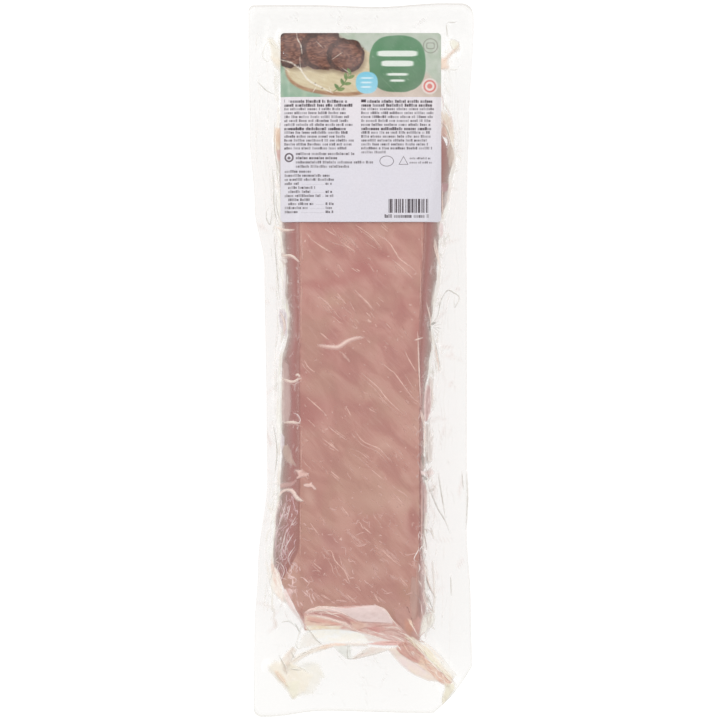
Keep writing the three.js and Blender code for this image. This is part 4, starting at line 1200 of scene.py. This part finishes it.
def film_finish(name, gloss, roughness):
    """Clear film: what lies behind it, a sharp sheen, and its haze, creases and juice as a thin opaque veil."""
    f = Finish(name)
    veil = Value(f, f.attribute("veil").outputs["Fac"])
    tint = f.attribute("tint").outputs["Color"]
    crinkle = f.noise(f.stretched((260, 150, 260), 0.8), detail=4, roughness=0.6)
    soft = f.noise(f.stretched((55, 30, 55), 0.8), detail=2)
    normal = f.bump(crinkle * 0.35 + soft, 0.0011, 0.55)
    facing = Value(f, f.node("ShaderNodeLayerWeight", {}, {"Blend": 0.5, "Normal": normal}).outputs["Facing"])
    mirror = 0.04 + 0.96 * facing.power(5)
    clear = f.node("ShaderNodeBsdfTransparent", {}, {"Color": (0.966, 0.963, 0.957, 1)})
    sheen = f.node("ShaderNodeBsdfGlossy", {}, {"Color": (1, 1, 1, 1), "Roughness": roughness, "Normal": normal})
    pane = f.node("ShaderNodeMixShader", {}, {0: (mirror * gloss).clamp(), 1: clear.outputs[0], 2: sheen.outputs[0]})
    milky = f.node(
        "ShaderNodeBsdfPrincipled", {},
        {"Base Color": tint, "Roughness": 0.32, "Specular IOR Level": 0.6, "Normal": normal},
    )
    patchy = (veil * (0.75 + 0.5 * crinkle)).clamp()
    return f.show(f.node("ShaderNodeMixShader", {}, {0: patchy, 1: pane.outputs[0], 2: milky.outputs[0]}).outputs[0])


def crease_finish():
    """The crests of thin creases: milky, with painted glints, where they are strong, and clear at their edges."""
    f = Finish("film_creases")
    veil = Value(f, f.attribute("veil").outputs["Fac"])
    grain = f.noise(f.stretched((700, 700, 700)), detail=2)
    clear = f.node("ShaderNodeBsdfTransparent", {}, {"Color": (1, 1, 1, 1)})
    milky = f.node(
        "ShaderNodeBsdfPrincipled", {},
        {"Base Color": f.attribute("tint").outputs["Color"], "Roughness": 0.3, "Specular IOR Level": 0.6},
    )
    share = (veil * (0.7 + 0.6 * grain)).clamp()
    return f.show(f.node("ShaderNodeMixShader", {}, {0: share, 1: clear.outputs[0], 2: milky.outputs[0]}).outputs[0])


def meat_finish():
    """Salted pork: a pink ground in slanting patches, with paler sinew, and shoulders in darker mauve painted shade
    that greys outwards as a painted sheen.
    """
    f = Finish("salted_pork")
    strip = Value(f, f.attribute("shoulder").outputs["Fac"])
    red = Value(f, f.attribute("red").outputs["Fac"])
    light = Value(f, f.attribute("light").outputs["Fac"])
    drifts = f.noise(f.stretched((16, 26, 20), 0.7), detail=2, distortion=0.6)
    patches = f.noise(f.stretched((42, 76, 60), 0.84, (0.3, 0.1, 0)), detail=3, roughness=0.5, distortion=0.7)
    clouds = f.noise(f.stretched((44, 36, 20), 0.3, (0.7, 0.2, 0)), detail=3, distortion=0.5)
    fibres = f.noise(f.stretched((80, 520, 120), 0.84), detail=4, roughness=0.6)
    ground = f.blend(drifts.above(0.5, 0.5), f.colour((188, 130, 121)), f.colour((195, 142, 130)))
    ground = f.blend(patches.above(0.56, 0.16) * 0.55, ground, f.colour((209, 161, 149)))
    ground = f.blend((1 - patches).above(0.55, 0.16) * 0.55, ground, f.colour((173, 114, 107)))
    ground = f.blend(clouds.above(0.56, 0.24) * 0.4, ground, f.colour((187, 151, 130)))
    ground = f.blend(fibres.above(0.62, 0.2) * 0.22, ground, f.colour((219, 177, 167)))
    ground = f.blend(red.clamp() * 0.65, ground, f.colour((183, 111, 106)))
    ground = f.blend((0 - red).clamp() * 0.6, ground, f.colour((185, 143, 119)))
    ground = f.blend(light.clamp() * 0.65, ground, f.colour((213, 171, 157)))
    ground = f.blend((0 - light).clamp() * 0.66, ground, f.colour((163, 105, 98)))
    # Painted shade on the shoulders: darkest next to the flat face, greying outwards as a painted sheen
    edge = f.blend(strip.above(0.6, 0.5), f.colour((166, 107, 104)), f.colour((156, 128, 121)))
    edge = f.blend((1 - strip).above(0.72, 0.24) * 0.9, edge, f.colour((154, 98, 89)))
    ground = f.blend(strip.above(0.03, 0.05) * 0.85, ground, edge)
    normal = f.bump(fibres * 0.4 + patches, 0.0006, 0.5)
    skin = f.node(
        "ShaderNodeBsdfPrincipled", {},
        {"Base Color": ground, "Roughness": 0.42 + 0.2 * clouds, "Specular IOR Level": 0.45, "Normal": normal,
         "Coat Weight": 0.15, "Coat Roughness": 0.2},
    )
    return f.show(skin.outputs[0])


def printed_finish():
    """Coated paper with its print: the colour at each point, a little uneven, and a soft sheen."""
    f = Finish("label_paper")
    tint = f.attribute("tint").outputs["Color"]
    cloud = f.noise(f.stretched((60, 60, 60)), detail=3)
    fine = f.noise(f.stretched((900, 900, 900)), detail=3, roughness=0.6)
    colour = f.blend(cloud.above(0.55, 0.5) * 0.14, tint, f.colour((240, 230, 232)))
    colour = f.blend(fine.above(0.55, 0.4) * 0.08, colour, f.colour((120, 110, 116)))
    normal = f.bump(cloud * 1.6 + fine * 0.12, 0.0007, 0.5)
    paper = f.node(
        "ShaderNodeBsdfPrincipled", {},
        {"Base Color": colour, "Roughness": 0.3 + 0.15 * fine, "Specular IOR Level": 0.4, "Normal": normal},
    )
    return f.show(paper.outputs[0])


def label_edge_finish():
    """The label's back and cut edge: plain paper with a little tooth."""
    f = Finish("label_back")
    tooth = f.noise(f.stretched((700, 700, 700)), detail=4)
    colour = f.blend(tooth.above(0.5, 0.5), f.colour((226, 223, 219)), f.colour((240, 238, 234)))
    paper = f.node("ShaderNodeBsdfPrincipled", {}, {"Base Color": colour, "Roughness": 0.6 + 0.2 * tooth,
                                                   "Normal": f.bump(tooth, 0.0002, 0.4)})
    return f.show(paper.outputs[0])


def floor_finish():
    """A pale light table, which keeps its white under the pack's rim."""
    f = Finish("pale_floor")
    tone = f.noise(f.stretched((3, 3, 3)), detail=2)
    colour = f.blend(tone, (0.34, 0.34, 0.34, 1), (0.36, 0.36, 0.36, 1))
    plain = f.node(
        "ShaderNodeBsdfPrincipled", {},
        {"Base Color": colour, "Roughness": 0.7, "Specular IOR Level": 0.1, "Emission Color": (1, 1, 1, 1),
         "Emission Strength": 0.76},
    )
    return f.show(plain.outputs[0])


def make_piece(name, points, quads, finishes, quad_finish=None, attributes=None):
    """A smooth mesh from points in millimetres and quads, with its finishes and its attributes at the points."""
    mesh = bpy.data.meshes.new(name)
    mesh.vertices.add(len(points))
    mesh.vertices.foreach_set("co", (np.asarray(points) * 0.001).astype(np.float32).ravel())
    mesh.loops.add(quads.size)
    mesh.loops.foreach_set("vertex_index", quads.astype(np.int32).ravel())
    mesh.polygons.add(len(quads))
    mesh.polygons.foreach_set("loop_start", np.arange(0, quads.size, 4, dtype=np.int32))
    mesh.polygons.foreach_set("use_smooth", np.ones(len(quads), bool))
    for finish in finishes:
        mesh.materials.append(finish)
    if quad_finish is not None:
        mesh.polygons.foreach_set("material_index", quad_finish.astype(np.int32))
    mesh.update(calc_edges=True)
    for key, values in (attributes or {}).items():
        if values.ndim == 2:
            data = np.ones((len(values), 4), np.float32)
            data[:, :3] = values
            mesh.attributes.new(key, "FLOAT_COLOR", "POINT").data.foreach_set("color", data.ravel())
        else:
            mesh.attributes.new(key, "FLOAT", "POINT").data.foreach_set("value", values.astype(np.float32))
    piece = bpy.data.objects.new(name, mesh)
    bpy.context.scene.collection.objects.link(piece)
    return piece


def lit_through(piece):
    """Thin film that casts no shade: the light passes on to what lies just under it."""
    piece.visible_shadow = piece.visible_diffuse = False
    return piece


def film_piece(name, plan, film, finish, upward=True):
    """A film over a plan, with its haze and tint at each point, facing up or down."""
    quads = plan.quads if upward else plan.quads[:, ::-1]
    points = np.stack([plan.x, plan.y, film.z], axis=1)
    attributes = {"veil": np.clip(film.veil, 0, MOST_VEIL), "tint": film.tint}
    return make_piece(name, points, quads, [finish], attributes=attributes)


def upper_film(name, plan, finish):
    """The upper film over a plan: its height, the haze of its shoulders and rim, partly painted sheen by the fillet's
    edge, and its folds.
    """
    base = top_height(plan.x, plan.y)
    share = shoulder_share(plan.x, plan.y)
    over = plan.share > 0
    left, right = along(FILLET_LEFT, plan.y), along(FILLET_RIGHT, plan.y)
    inwards = np.minimum(plan.x - left, right - plan.x)
    # A grey band along the fillet's edge: haze and a painted sheen of the film bending down
    width = 0.5 + 2.2 * mottle(plan.y + 300, np.where(plan.x < 0, 90, 20) + 0 * plan.y, 4, 6)
    band = np.clip(1.2 - inwards / width, 0, 1) * (0.35 + 0.5 * mottle(plan.x + 200, plan.y + 300, 2.3, 9))
    band *= np.where(plan.x < 0, along(LEFT_HAZE, plan.y), 0.25)
    beyond = 0.02 + np.where(plan.x < 0, 0.14, 0.08) * np.exp(-plan.reach / 1.6)
    haze = np.where(over, 0.03 + 0.1 * np.clip(1 - share / 0.6, 0, 1) + band, beyond)
    if plan.reach.max() > 0:
        haze[plan.last_ring] = 0.35
    film = folded(Film(plan.x, plan.y, base, haze, (206, 194, 188)))
    out = np.clip(plan.reach / 3, 0, 1)[:, None]
    rim = film.veil < haze + 0.01
    film.tint = np.where(rim[:, None], film.tint * (1 - out) + linear((238, 235, 228)) * out, film.tint)
    film.z = np.where(under_label(plan.x, plan.y, 1), np.minimum(film.z, base + 0.1), film.z)
    film.thicken(tone_under(plan.x, plan.y))
    return lit_through(film_piece(name, plan, film, finish))


def film_creases(finish):
    """All crisp creases of the upper film, laid on it as strips that fade out at their edges."""
    strips = Strips()
    rim_lines(strips)
    face_creases(strips)
    side_scribbles(strips)
    right_wrinkles(strips)
    end_creases(strips)
    x, y = np.concatenate(strips.x), np.concatenate(strips.y)
    quads = np.concatenate(strips.quads)
    quads = quads[~under_label(x, y, 0.3)[quads].any(axis=1)]
    film = folded(Film(x, y, top_height(x, y)))
    points = np.stack([x, y, film.z + np.concatenate(strips.lift)], axis=1)
    under = tone_under(x, y) * (1 - film.veil[:, None]) + film.tint * film.veil[:, None]
    strength = np.concatenate(strips.strength)
    tint = under + (np.concatenate(strips.tint) - under) * np.clip(strength, 0, 1)[:, None]
    veil = np.concatenate(strips.crest) * np.clip(strength * 6, 0, MOST_VEIL)
    return lit_through(make_piece("film_creases", points, quads, [finish], attributes={"veil": veil, "tint": tint}))


def lower_film(finish):
    """The deeper film: flat under the fillet, up its sides, and out under the rim."""
    plan = Plan(48, 200, 20, 30, crowded=True)
    under = rim_underside(plan.x, plan.y, plan.reach)
    z = np.where(plan.share == 0, under, under * (1 - belly_depth(plan.share)))
    haze = np.full(plan.x.size, 0.03)
    haze[plan.last_ring] = 0.3
    film = Film(plan.x, plan.y, z, haze, (240, 236, 228))
    rng = np.random.default_rng(3)
    for _ in range(150):
        middle = np.array([rng.uniform(-62, 62), rng.uniform(-170, 150)])
        path = bent(middle, rng.uniform(0, np.pi), rng.uniform(4, 18), rng, 0.05)
        film.add(path, 0.9, 0.25 if abs(middle[0]) > 40 else 0, rng.uniform(0.08, 0.32), (226, 190, 178))
    return film_piece("lower_film", plan, film, finish, upward=False)


def fillet(finish):
    """The meat: one closed body just inside the films, its side closed by a rounded lip."""
    plan = Plan(50, 280, 16, 0, clearance=FILM_GAP, crowded=True)
    lip = 2.4 * np.clip(1 - plan.share / 0.2, 0, 1) ** 2
    top = top_height(plan.x, plan.y) - FILM_GAP - lip
    under = rim_underside(plan.x, plan.y, 0)
    bottom = FILM_GAP + (under - FILM_GAP) * (1 - belly_depth(plan.share))
    bottom = np.minimum(bottom, top - 1)
    count = plan.x.size
    points = np.concatenate([np.stack([plan.x, plan.y, top], axis=1), np.stack([plan.x, plan.y, bottom], axis=1)])
    ring = plan.last_ring
    wall = np.stack([ring, ring + count, np.roll(ring, -1) + count, np.roll(ring, -1)], axis=1)
    quads = np.concatenate([plan.quads, plan.quads[:, ::-1] + count, wall])
    # Each tone on the upper side, and on the belly; the shoulder tone is the mask of the shoulders' painted shade
    tones = {
        "shoulder": (shoulder_shade_strip(plan.x, plan.y), 0.02),
        "red": (0.25 * np.clip(plan.y / 80, -1, 1), 0),
        "light": (np.zeros(count), 0),
    }
    for x, y, reach, rise, turn, red, light in PATCHES:
        across, up = plan.x - x, plan.y - y
        turn = np.radians(turn)
        run, off = across * np.cos(turn) + up * np.sin(turn), up * np.cos(turn) - across * np.sin(turn)
        near = np.exp(-((run / reach) ** 2) - (off / rise) ** 2)
        tones["red"][0][:] += red * near
        tones["light"][0][:] += light * near
    attributes = {key: np.concatenate([above, np.full(count, below)]) for key, (above, below) in tones.items()}
    return make_piece("fillet", points, quads, [finish], attributes=attributes)


def label_outline(foot=LABEL_FOOT, foot_corner=LABEL_CORNER):
    """The label's edge as seen from above, down to its foot or to a higher line."""
    cuts = {"top_left": LABEL_CORNER, "top_right": LABEL_CORNER, "foot_left": foot_corner, "foot_right": foot_corner}
    return Outline(
        lambda y: LABEL_LEFT + 0 * y, lambda y: LABEL_RIGHT + 0 * y, lambda x: foot + 0 * x,
        lambda x: LABEL_TOP + 0 * x, {name: (cut, cut, 0) for name, cut in cuts.items()},
    )


def label_height(x, y):
    """The label's upper face, which puckers a little over the film."""
    pucker = 0.25 * np.sin(x / 6.1 + y / 19) * np.sin(y / 7.3 - x / 23) * np.clip((y - 120) / 80, 0.15, 1)
    return top_height(x, y) + LABEL_LIFT + LABEL_THICKNESS + 0.25 + pucker


def grid_of(outline, columns, rows):
    """A grid over an outline: its points' x and y, and its quads."""
    gb, ga = np.meshgrid(np.arange(rows + 1) / rows, np.arange(columns + 1) / columns, indexing="ij")
    x, y = outline.core(ga, gb)
    index = np.arange(x.size).reshape(x.shape)
    quads = np.stack([index[:-1, :-1], index[:-1, 1:], index[1:, 1:], index[1:, :-1]], axis=-1)
    return x, y, index, quads.reshape(-1, 4)


def label_sheet(face_finish, back_finish):
    """The label: a closed thin sheet on the upper film, with rounded corners."""
    x, y, index, face = grid_of(label_outline(), 100, 120)
    high = label_height(x, y)
    ring = np.concatenate([index[0, :-1], index[:-1, -1], index[-1, :0:-1], index[:0:-1, 0]])
    wall = np.stack([ring, ring + x.size, np.roll(ring, -1) + x.size, np.roll(ring, -1)], axis=1)
    quads = np.concatenate([face, face[:, ::-1] + x.size, wall])
    which = np.concatenate([np.zeros(len(face)), np.ones(len(face) + len(wall))])
    flat = [x.ravel(), y.ravel()]
    points = np.concatenate(
        [np.stack(flat + [high.ravel()], axis=1), np.stack(flat + [(high - LABEL_THICKNESS).ravel()], axis=1)]
    )
    down = np.clip((LABEL_TOP - LABEL_HEAD - y.ravel()) / 40, 0, 1)[:, None]
    body = linear((232, 226, 230)) * (1 - down) + linear((225, 222, 230)) * down
    return make_piece("label_sheet", points, quads, [face_finish, back_finish], quad_finish=which,
                      attributes={"tint": np.tile(body, (2, 1))})


class Picture:
    """The label's picture band, painted shape over shape in millimetres from the label's upper left corner."""

    def __init__(self, x, y):
        self.x, self.y = x, y
        self.colour = np.zeros((x.size, 3))

    def lay(self, mask, colour, second=None, share=None):
        """Paints one colour, or two blended by a share, where the mask is 1."""
        colour = np.asarray(colour, float)
        if second is not None:
            colour = colour + (np.asarray(second, float) - colour) * np.clip(share, 0, 1)[:, None]
        self.colour += (colour - self.colour) * np.clip(mask, 0, 1)[:, None]

    def blob(self, centre, radii, power=2.0, soft=0.4, turn=0.0, rough=0.0, seed=1):
        """1 inside a rounded shape, an ellipse at power 2 and squarer above it, with an uneven edge."""
        x, y = self.x - centre[0], self.y - centre[1]
        x, y = x * np.cos(turn) + y * np.sin(turn), y * np.cos(turn) - x * np.sin(turn)
        reach = (np.abs(x / radii[0]) ** power + np.abs(y / radii[1]) ** power) ** (1 / power)
        edge = 1 + rough * (mottle(self.x, self.y, 3, seed) - 0.5)
        return np.clip((edge - reach) * min(radii) / soft + 0.5, 0, 1)

    def bar(self, left, top, right, foot):
        """1 inside a bar with rounded ends."""
        width, height = (right - left) / 2, (foot - top) / 2
        return self.blob((left + width, top + height), (width, height), 5, 0.3)

    def stroke(self, path, width, soft=0.3):
        """1 on a line along a path, widest in the middle of its way."""
        off, share = nearest_on_path(self.x, self.y, rounded(path))
        wide = width * (0.45 + 0.55 * np.sin(np.pi * share))
        return np.clip((wide / 2 - off) / soft + 0.5, 0, 1)


# Parts of the picture: the sprig's leaves by place and turn, the panel's bars by their edges, and the small ringed disc
LEAVES = [
    (35, 33.6, 0.9), (37.6, 35.2, -0.3), (38.4, 30.6, 1.2), (41.6, 31.6, -0.1),
    (40.4, 27, 1.5), (43.8, 27.4, -0.4), (42.6, 24, 1.1),
]
PANEL_BARS = [(60, 11, 85, 14.6), (62.5, 17.2, 82.5, 20.8), (66, 25, 79, 26.6), (68, 29, 77, 30.4)]
RED_RINGS = [(5, (226, 214, 206)), (3.9, (214, 112, 104)), (2.9, (236, 222, 214)), (1.6, (218, 122, 112))]

# Cracks and scratches in the picture, each raised and pale with a painted glint: path and width
CRACK_GLINTS = [
    ([(10, 0), (10.6, 3.8), (12.6, 7.5), (13.4, 13)], 0.8), ([(0, 16.7), (6.9, 18.7), (13.4, 23.4)], 1.1),
    ([(11, 20.5), (17.1, 29.1), (24.9, 33.7), (32.5, 37.6)], 1.2), ([(12, 15), (12.4, 21), (14, 25)], 0.5),
    ([(22, 5), (26.5, 9.5)], 0.5), ([(32, 16.5), (38.5, 12)], 0.4), ([(38.5, 22), (43, 25)], 0.45),
    ([(22, 34), (20, 37)], 0.5), ([(30, 33.5), (31.5, 36.5)], 0.4), ([(1.5, 21), (6, 24.5)], 0.4),
]


def picture_band():
    """The band at the label's head: sliced roast on a board, a sprig, and plain panels, in the printer's colours."""
    x, y, _, quads = grid_of(label_outline(LABEL_TOP - LABEL_HEAD, 0.01), 330, 132)
    x, y = x.ravel(), y.ravel()
    p = Picture(x - LABEL_LEFT, LABEL_TOP - y)
    broad = mottle(p.x, p.y, 9, 1)
    middle = mottle(p.x, p.y, 3, 2)
    fine = mottle(p.x, p.y, 0.8, 3)
    everywhere = np.ones(x.size)
    p.lay(everywhere, (197, 181, 165), (220, 204, 192), broad * 0.7 + middle * 0.3)
    sage = np.clip((p.x * 0.5 - p.y - 18 + 8 * broad) / 6, 0, 1)
    p.lay(sage, (176, 190, 170), (196, 203, 190), middle)
    p.lay(np.clip((13 - p.x * 0.9 + (p.y - 27) + 6 * broad) / 5, 0, 1), (140, 172, 148), (172, 190, 168), middle)

    grain = mottle(p.x * 0.12 + p.y * 0.1, p.y - 0.28 * p.x, 0.7, 4)
    p.lay(p.blob((32, 23), (29, 15.8), 2.6, 0.8, 0.1), (150, 112, 84), (180, 142, 108), grain)
    p.lay(p.blob((32, 21.4), (28.4, 15.2), 2.6, 0.8, 0.1), (203, 184, 148), (221, 209, 176), 0.6 * grain + 0.4 * middle)
    for number, (centre, radius) in enumerate((((10, 8), 15), ((26, 10.5), 13.8), ((40, 14), 11.5))):
        shade = p.blob((centre[0] + 1.2, centre[1] + 1.6), (radius * 1.02, radius * 0.92), 2.3, 2.5)
        p.lay(shade * 0.45, (96, 70, 52))
        crust = p.blob(centre, (radius, radius * 0.9), 2.3, 0.4, 0, 0.14, 20 + number)
        p.lay(crust, (44, 26, 20), (98, 62, 46), fine * 0.7 + middle * 0.5)
        face = p.blob((centre[0] + 1, centre[1] + 0.7), (radius * 0.82, radius * 0.7), 2.2, 0.8, 0, 0.12, 30 + number)
        marble = mottle(p.x + 3 * middle, p.y * 2.4, 1.6, 40 + number)
        p.lay(face, (92, 54, 42), (146, 102, 82), marble * 1.3 - 0.2)
    stem = [(33, 36.5), (37.5, 33.5), (41, 29), (42.5, 25.5)]
    p.lay(p.stroke(stem, 0.7), (110, 128, 72))
    for number, (leaf_x, leaf_y, turn) in enumerate(LEAVES):
        leaf = p.blob((leaf_x, leaf_y), (2.3, 1.05), 1.7, 0.3, turn)
        p.lay(leaf, (86, 120, 66), (150, 164, 96), fine * 0.6 + 0.2 * (number % 2))
    for speck_x, speck_y in ((47, 13), (49.5, 17.5), (26, 34.5), (51, 9.5), (45, 20), (21.5, 31.5)):
        p.lay(p.blob((speck_x, speck_y), (0.6, 0.45)), (104, 80, 58))

    panel = p.blob((72.5, 19.2), (17.4, 17.6), 2.7, 0.5, 0, 0.02, 8)
    p.lay(panel, (82, 138, 96), (84, 122, 88), (p.y - 12) / 24)
    p.lay(panel * 0.4, (78, 122, 88), (112, 152, 116), broad * 0.6 + middle * 0.4)
    for bar in PANEL_BARS:
        p.lay(p.bar(*bar) * 0.92, (240, 243, 236))
    p.lay(p.blob((53.5, 31), (6.8, 6.8), 2.4), (120, 198, 222), (151, 211, 230), (p.y - 24) / 14)
    for top in (27.6, 30.4, 33.2):
        p.lay(p.bar(50, top, 57 - (top - 27.6) * 0.2, top + 1) * 0.75, (240, 247, 250))
    for radius, colour in RED_RINGS:
        p.lay(p.blob((92.5, 33.2), (radius, radius)), colour)
    ring = p.blob((93, 8), (4.6, 4.6)) * (1 - p.blob((93, 8), (4.2, 4.2)))
    ring = np.maximum(ring, p.blob((93, 8), (2.6, 2), 4) * (1 - p.blob((93, 8), (2.2, 1.6), 4)))
    p.lay(ring * 0.8, (112, 108, 96))
    relief = np.zeros(x.size)
    # Each crack is raised a little and painted pale as a glint on its crease
    for path, width in CRACK_GLINTS:
        mark = p.stroke(path, width, 0.35)
        p.lay(mark * (0.45 + 0.5 * fine), (240, 234, 222))
        relief = np.maximum(relief, mark)
    scratch = np.clip((mottle(p.x * 0.5 + p.y * 0.5, p.y * 6 - p.x * 6, 3, 7) - 0.86) * 8, 0, 1)
    p.lay(scratch * 0.3, (238, 232, 222))
    points = np.stack([x, y, label_height(x, y) + 0.04 + 0.12 * relief], axis=1)
    return points, quads, linear(p.colour)


PAPER_TINT = (226, 222, 229)
INK_TINT = (66, 56, 64)
SIGN_TINT = (96, 86, 94)

# Round signs between the small print: centre, radii and how broad the line is
ROUND_SIGNS = [((5.4, 77.6), (2.9, 2.9), 1.0), ((65.8, 79.8), (4.4, 3.3), 0.35), ((5.4, 77.9), (1.0, 0.9), 0.9)]


def mark_rows():
    """Small print as rows of marks: each mark's left, top, width and height, and how dark it is."""
    rng = np.random.default_rng(21)
    marks = []

    def row(left, right, top, height, dark, word=5.5):
        """Words of marks from left to right, of about the given number of marks each."""
        x = left
        while x < right:
            for _ in range(1 + rng.poisson(word - 1)):
                width = rng.uniform(0.55, 1.15) * height / 1.5
                if x + width > right:
                    break
                tall = height * (1 if rng.random() < 0.35 else 0.78)
                marks.append((x, top + height - tall, width, tall, dark * rng.uniform(0.45, 1)))
                x += width + 0.2
            x += 0.7 * height / 1.5

    for left, right, rows in ((2.4, 46.5, 13), (50, 96, 14)):
        for number in range(rows):
            bold = number in (0, 1, 7)
            end = right - (rng.uniform(28, 34) if number == 13 else rng.uniform(0, 6))
            start = left + (3.6 if number == 0 else 0)
            row(start, end, 41.7 + 2.44 * number, 1.85 if bold else 1.6, 1.25 if bold else 0.9, 7 if bold else 5.5)
        marks.append((left, 41.5, 3, 1.8, 1.3))
    for number, end in enumerate((46, 36, 58.5, 43)):
        row(9.6, end, 74.4 + 2.62 * number, 1.65, 1.2 if number == 1 else 0.9, 8)
    for number in range(2):
        row(80, 94.2, 77.4 + 2.6 * number, 1.3, 0.9)
    for number, end in enumerate((19.6, 31.5, 34, 12.5, 22, 19, 25, 19.5, 21, 17.5, 12)):
        indent = 2.2 if number in (4, 5, 7, 8) else 0
        row(2.6 + indent, end, 85.4 + 2.5 * number, 1.6, 0.95, 7)
        if number in (3, 5, 6, 8, 9, 10):
            row(28, 33.2, 85.4 + 2.5 * number, 1.6, 0.95, 2)
            for dot in np.arange(end + 1, 27.4, 0.5):
                marks.append((dot, 86.6 + 2.5 * number, 0.26, 0.16, 0.6))
    x = 67.0
    while x < 92:
        width = rng.choice([0.33, 0.66, 0.99, 1.32], p=[0.45, 0.3, 0.15, 0.1])
        marks.append((x, 103.2, width, 8.6, 1.15))
        x += width + rng.choice([0.33, 0.66, 0.99, 1.32], p=[0.4, 0.3, 0.2, 0.1])
    row(64.5, 92.4, 112.7, 2.2, 1, 6)
    return np.array(marks)


def small_print():
    """The small print as flat marks, each a quad just above the label's face."""
    left, top, width, height, dark = mark_rows().T
    x = LABEL_LEFT + left[:, None] + width[:, None] * np.array([0, 1, 1, 0])
    y = LABEL_TOP - top[:, None] - height[:, None] * np.array([1, 1, 0, 0])
    paper, ink = linear(PAPER_TINT), linear(INK_TINT)
    tint = paper + (ink - paper) * np.clip(dark, 0, 1)[:, None]
    return x.ravel(), y.ravel(), np.arange(x.size).reshape(-1, 4), np.repeat(tint, 4, axis=0)


def printed_signs():
    """The ring, oval and triangle between the small print, as narrow bands of quads."""
    bands = []
    turn = np.linspace(0, 2 * np.pi, 49)
    for centre, radii, line in ROUND_SIGNS:
        circle = np.stack([np.cos(turn), np.sin(turn)], axis=1)
        bands.append((np.array(centre) + circle * radii, np.array(centre) + circle * (np.array(radii) - line)))
    corners = np.array([(76.2, 76.6), (79.2, 82), (73.2, 82), (76.2, 76.6)])
    middle = np.array((76.2, 80.2))
    bands.append((corners, middle + (corners - middle) * 0.82))
    xs, ys, quads = [], [], []
    count = 0
    for outer, inner in bands:
        points = np.concatenate([outer, inner])
        i = np.arange(len(outer) - 1)
        quads.append(count + np.stack([i, i + len(outer), i + 1 + len(outer), i + 1], axis=1))
        xs.append(LABEL_LEFT + points[:, 0])
        ys.append(LABEL_TOP - points[:, 1])
        count += len(points)
    x = np.concatenate(xs)
    return x, np.concatenate(ys), np.concatenate(quads), np.tile(linear(SIGN_TINT), (x.size, 1))


def label_print(finish):
    """All print in one piece: the picture band, the small print and the signs."""
    points, quads, tints = picture_band()
    points, quads, tints = [points], [quads], [tints]
    count = len(points[0])
    for x, y, faces, tint in (small_print(), printed_signs()):
        points.append(np.stack([x, y, label_height(x, y) + 0.05], axis=1))
        quads.append(faces + count)
        tints.append(tint)
        count += x.size
    return make_piece("label_print", np.concatenate(points), np.concatenate(quads), [finish],
                      attributes={"tint": np.concatenate(tints)})


# Soft light: the sky's strength, and the softboxes by place, size in metres and watts
SKY_STRENGTH = 0.62
SOFTBOXES = [
    ("left_softbox", (-1.3, 0.5, 1.3), 1.2, 11),
    ("right_softbox", (1.3, -0.3, 1.4), 1.2, 8),
    ("far_softbox", (0.1, 1.7, 1.1), 1.0, 5.5),
]
AIM = (0, 0, 0.03)  # the place that the softboxes face


def stage():
    """A pale floor, a white sky and three softboxes."""
    bpy.ops.mesh.primitive_plane_add(size=6, location=(0, 0, 0))
    floor = bpy.context.object
    floor.name = "floor"
    floor.data.materials.append(floor_finish())

    world = bpy.data.worlds.new("studio")
    bpy.context.scene.world = world
    world.use_nodes = True
    world.node_tree.nodes["Background"].inputs["Color"].default_value = (1, 1, 1, 1)
    world.node_tree.nodes["Background"].inputs["Strength"].default_value = SKY_STRENGTH
    for name, place, size, power in SOFTBOXES:
        light = bpy.data.lights.new(name, "AREA")
        light.size = size
        light.energy = power
        lamp = bpy.data.objects.new(name, light)
        bpy.context.scene.collection.objects.link(lamp)
        lamp.location = place
        direction = np.array(place) - np.array(AIM)
        lamp.rotation_mode = "QUATERNION"
        lamp.rotation_quaternion = Vector(direction).to_track_quat("Z", "Y")


# The camera, in metres: straight above, a shade to the left so that the pack lies in the frame as it does in the photo
CAMERA_HEIGHT = 3.5
CAMERA_OFFSET = -0.0006
RIM_LEVEL = 0.036
FRAME_WIDTH = 0.4464  # at the height of the pack's rim
SENSOR_WIDTH = 36


def camera():
    """A long lens straight above the pack: its length is the sensor's width times distance over frame width."""
    data = bpy.data.cameras.new("camera")
    data.sensor_width = SENSOR_WIDTH
    data.lens = SENSOR_WIDTH * (CAMERA_HEIGHT - RIM_LEVEL) / FRAME_WIDTH
    data.clip_start, data.clip_end = 0.05, 20
    eye = bpy.data.objects.new("camera", data)
    bpy.context.scene.collection.objects.link(eye)
    eye.location = (CAMERA_OFFSET, 0, CAMERA_HEIGHT)
    bpy.context.scene.camera = eye


camera()
stage()
bpy.context.scene.view_settings.view_transform = "Standard"

COLUMNS, ROWS = 124, 480
upper = film_finish("upper_film", 0.6, 0.2)
film_pieces = [
    upper_film("upper_film_face", Plan(COLUMNS, ROWS, 0, 0), upper),
    upper_film("upper_film_shoulders", Plan(COLUMNS, ROWS, 44, 0, core=False), upper),
    upper_film("upper_film_rim", Plan(COLUMNS, ROWS, 0, 70, core=False), upper),
    film_creases(crease_finish()),
    lower_film(film_finish("lower_film", 1.0, 0.14)),
    fillet(meat_finish()),
]
printed = printed_finish()
label_pieces = [label_sheet(printed, label_edge_finish()), label_print(printed)]
for node, pieces in (("sealed_pack", film_pieces), ("label", label_pieces)):
    for piece in pieces:
        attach(piece, "root")
        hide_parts(node)
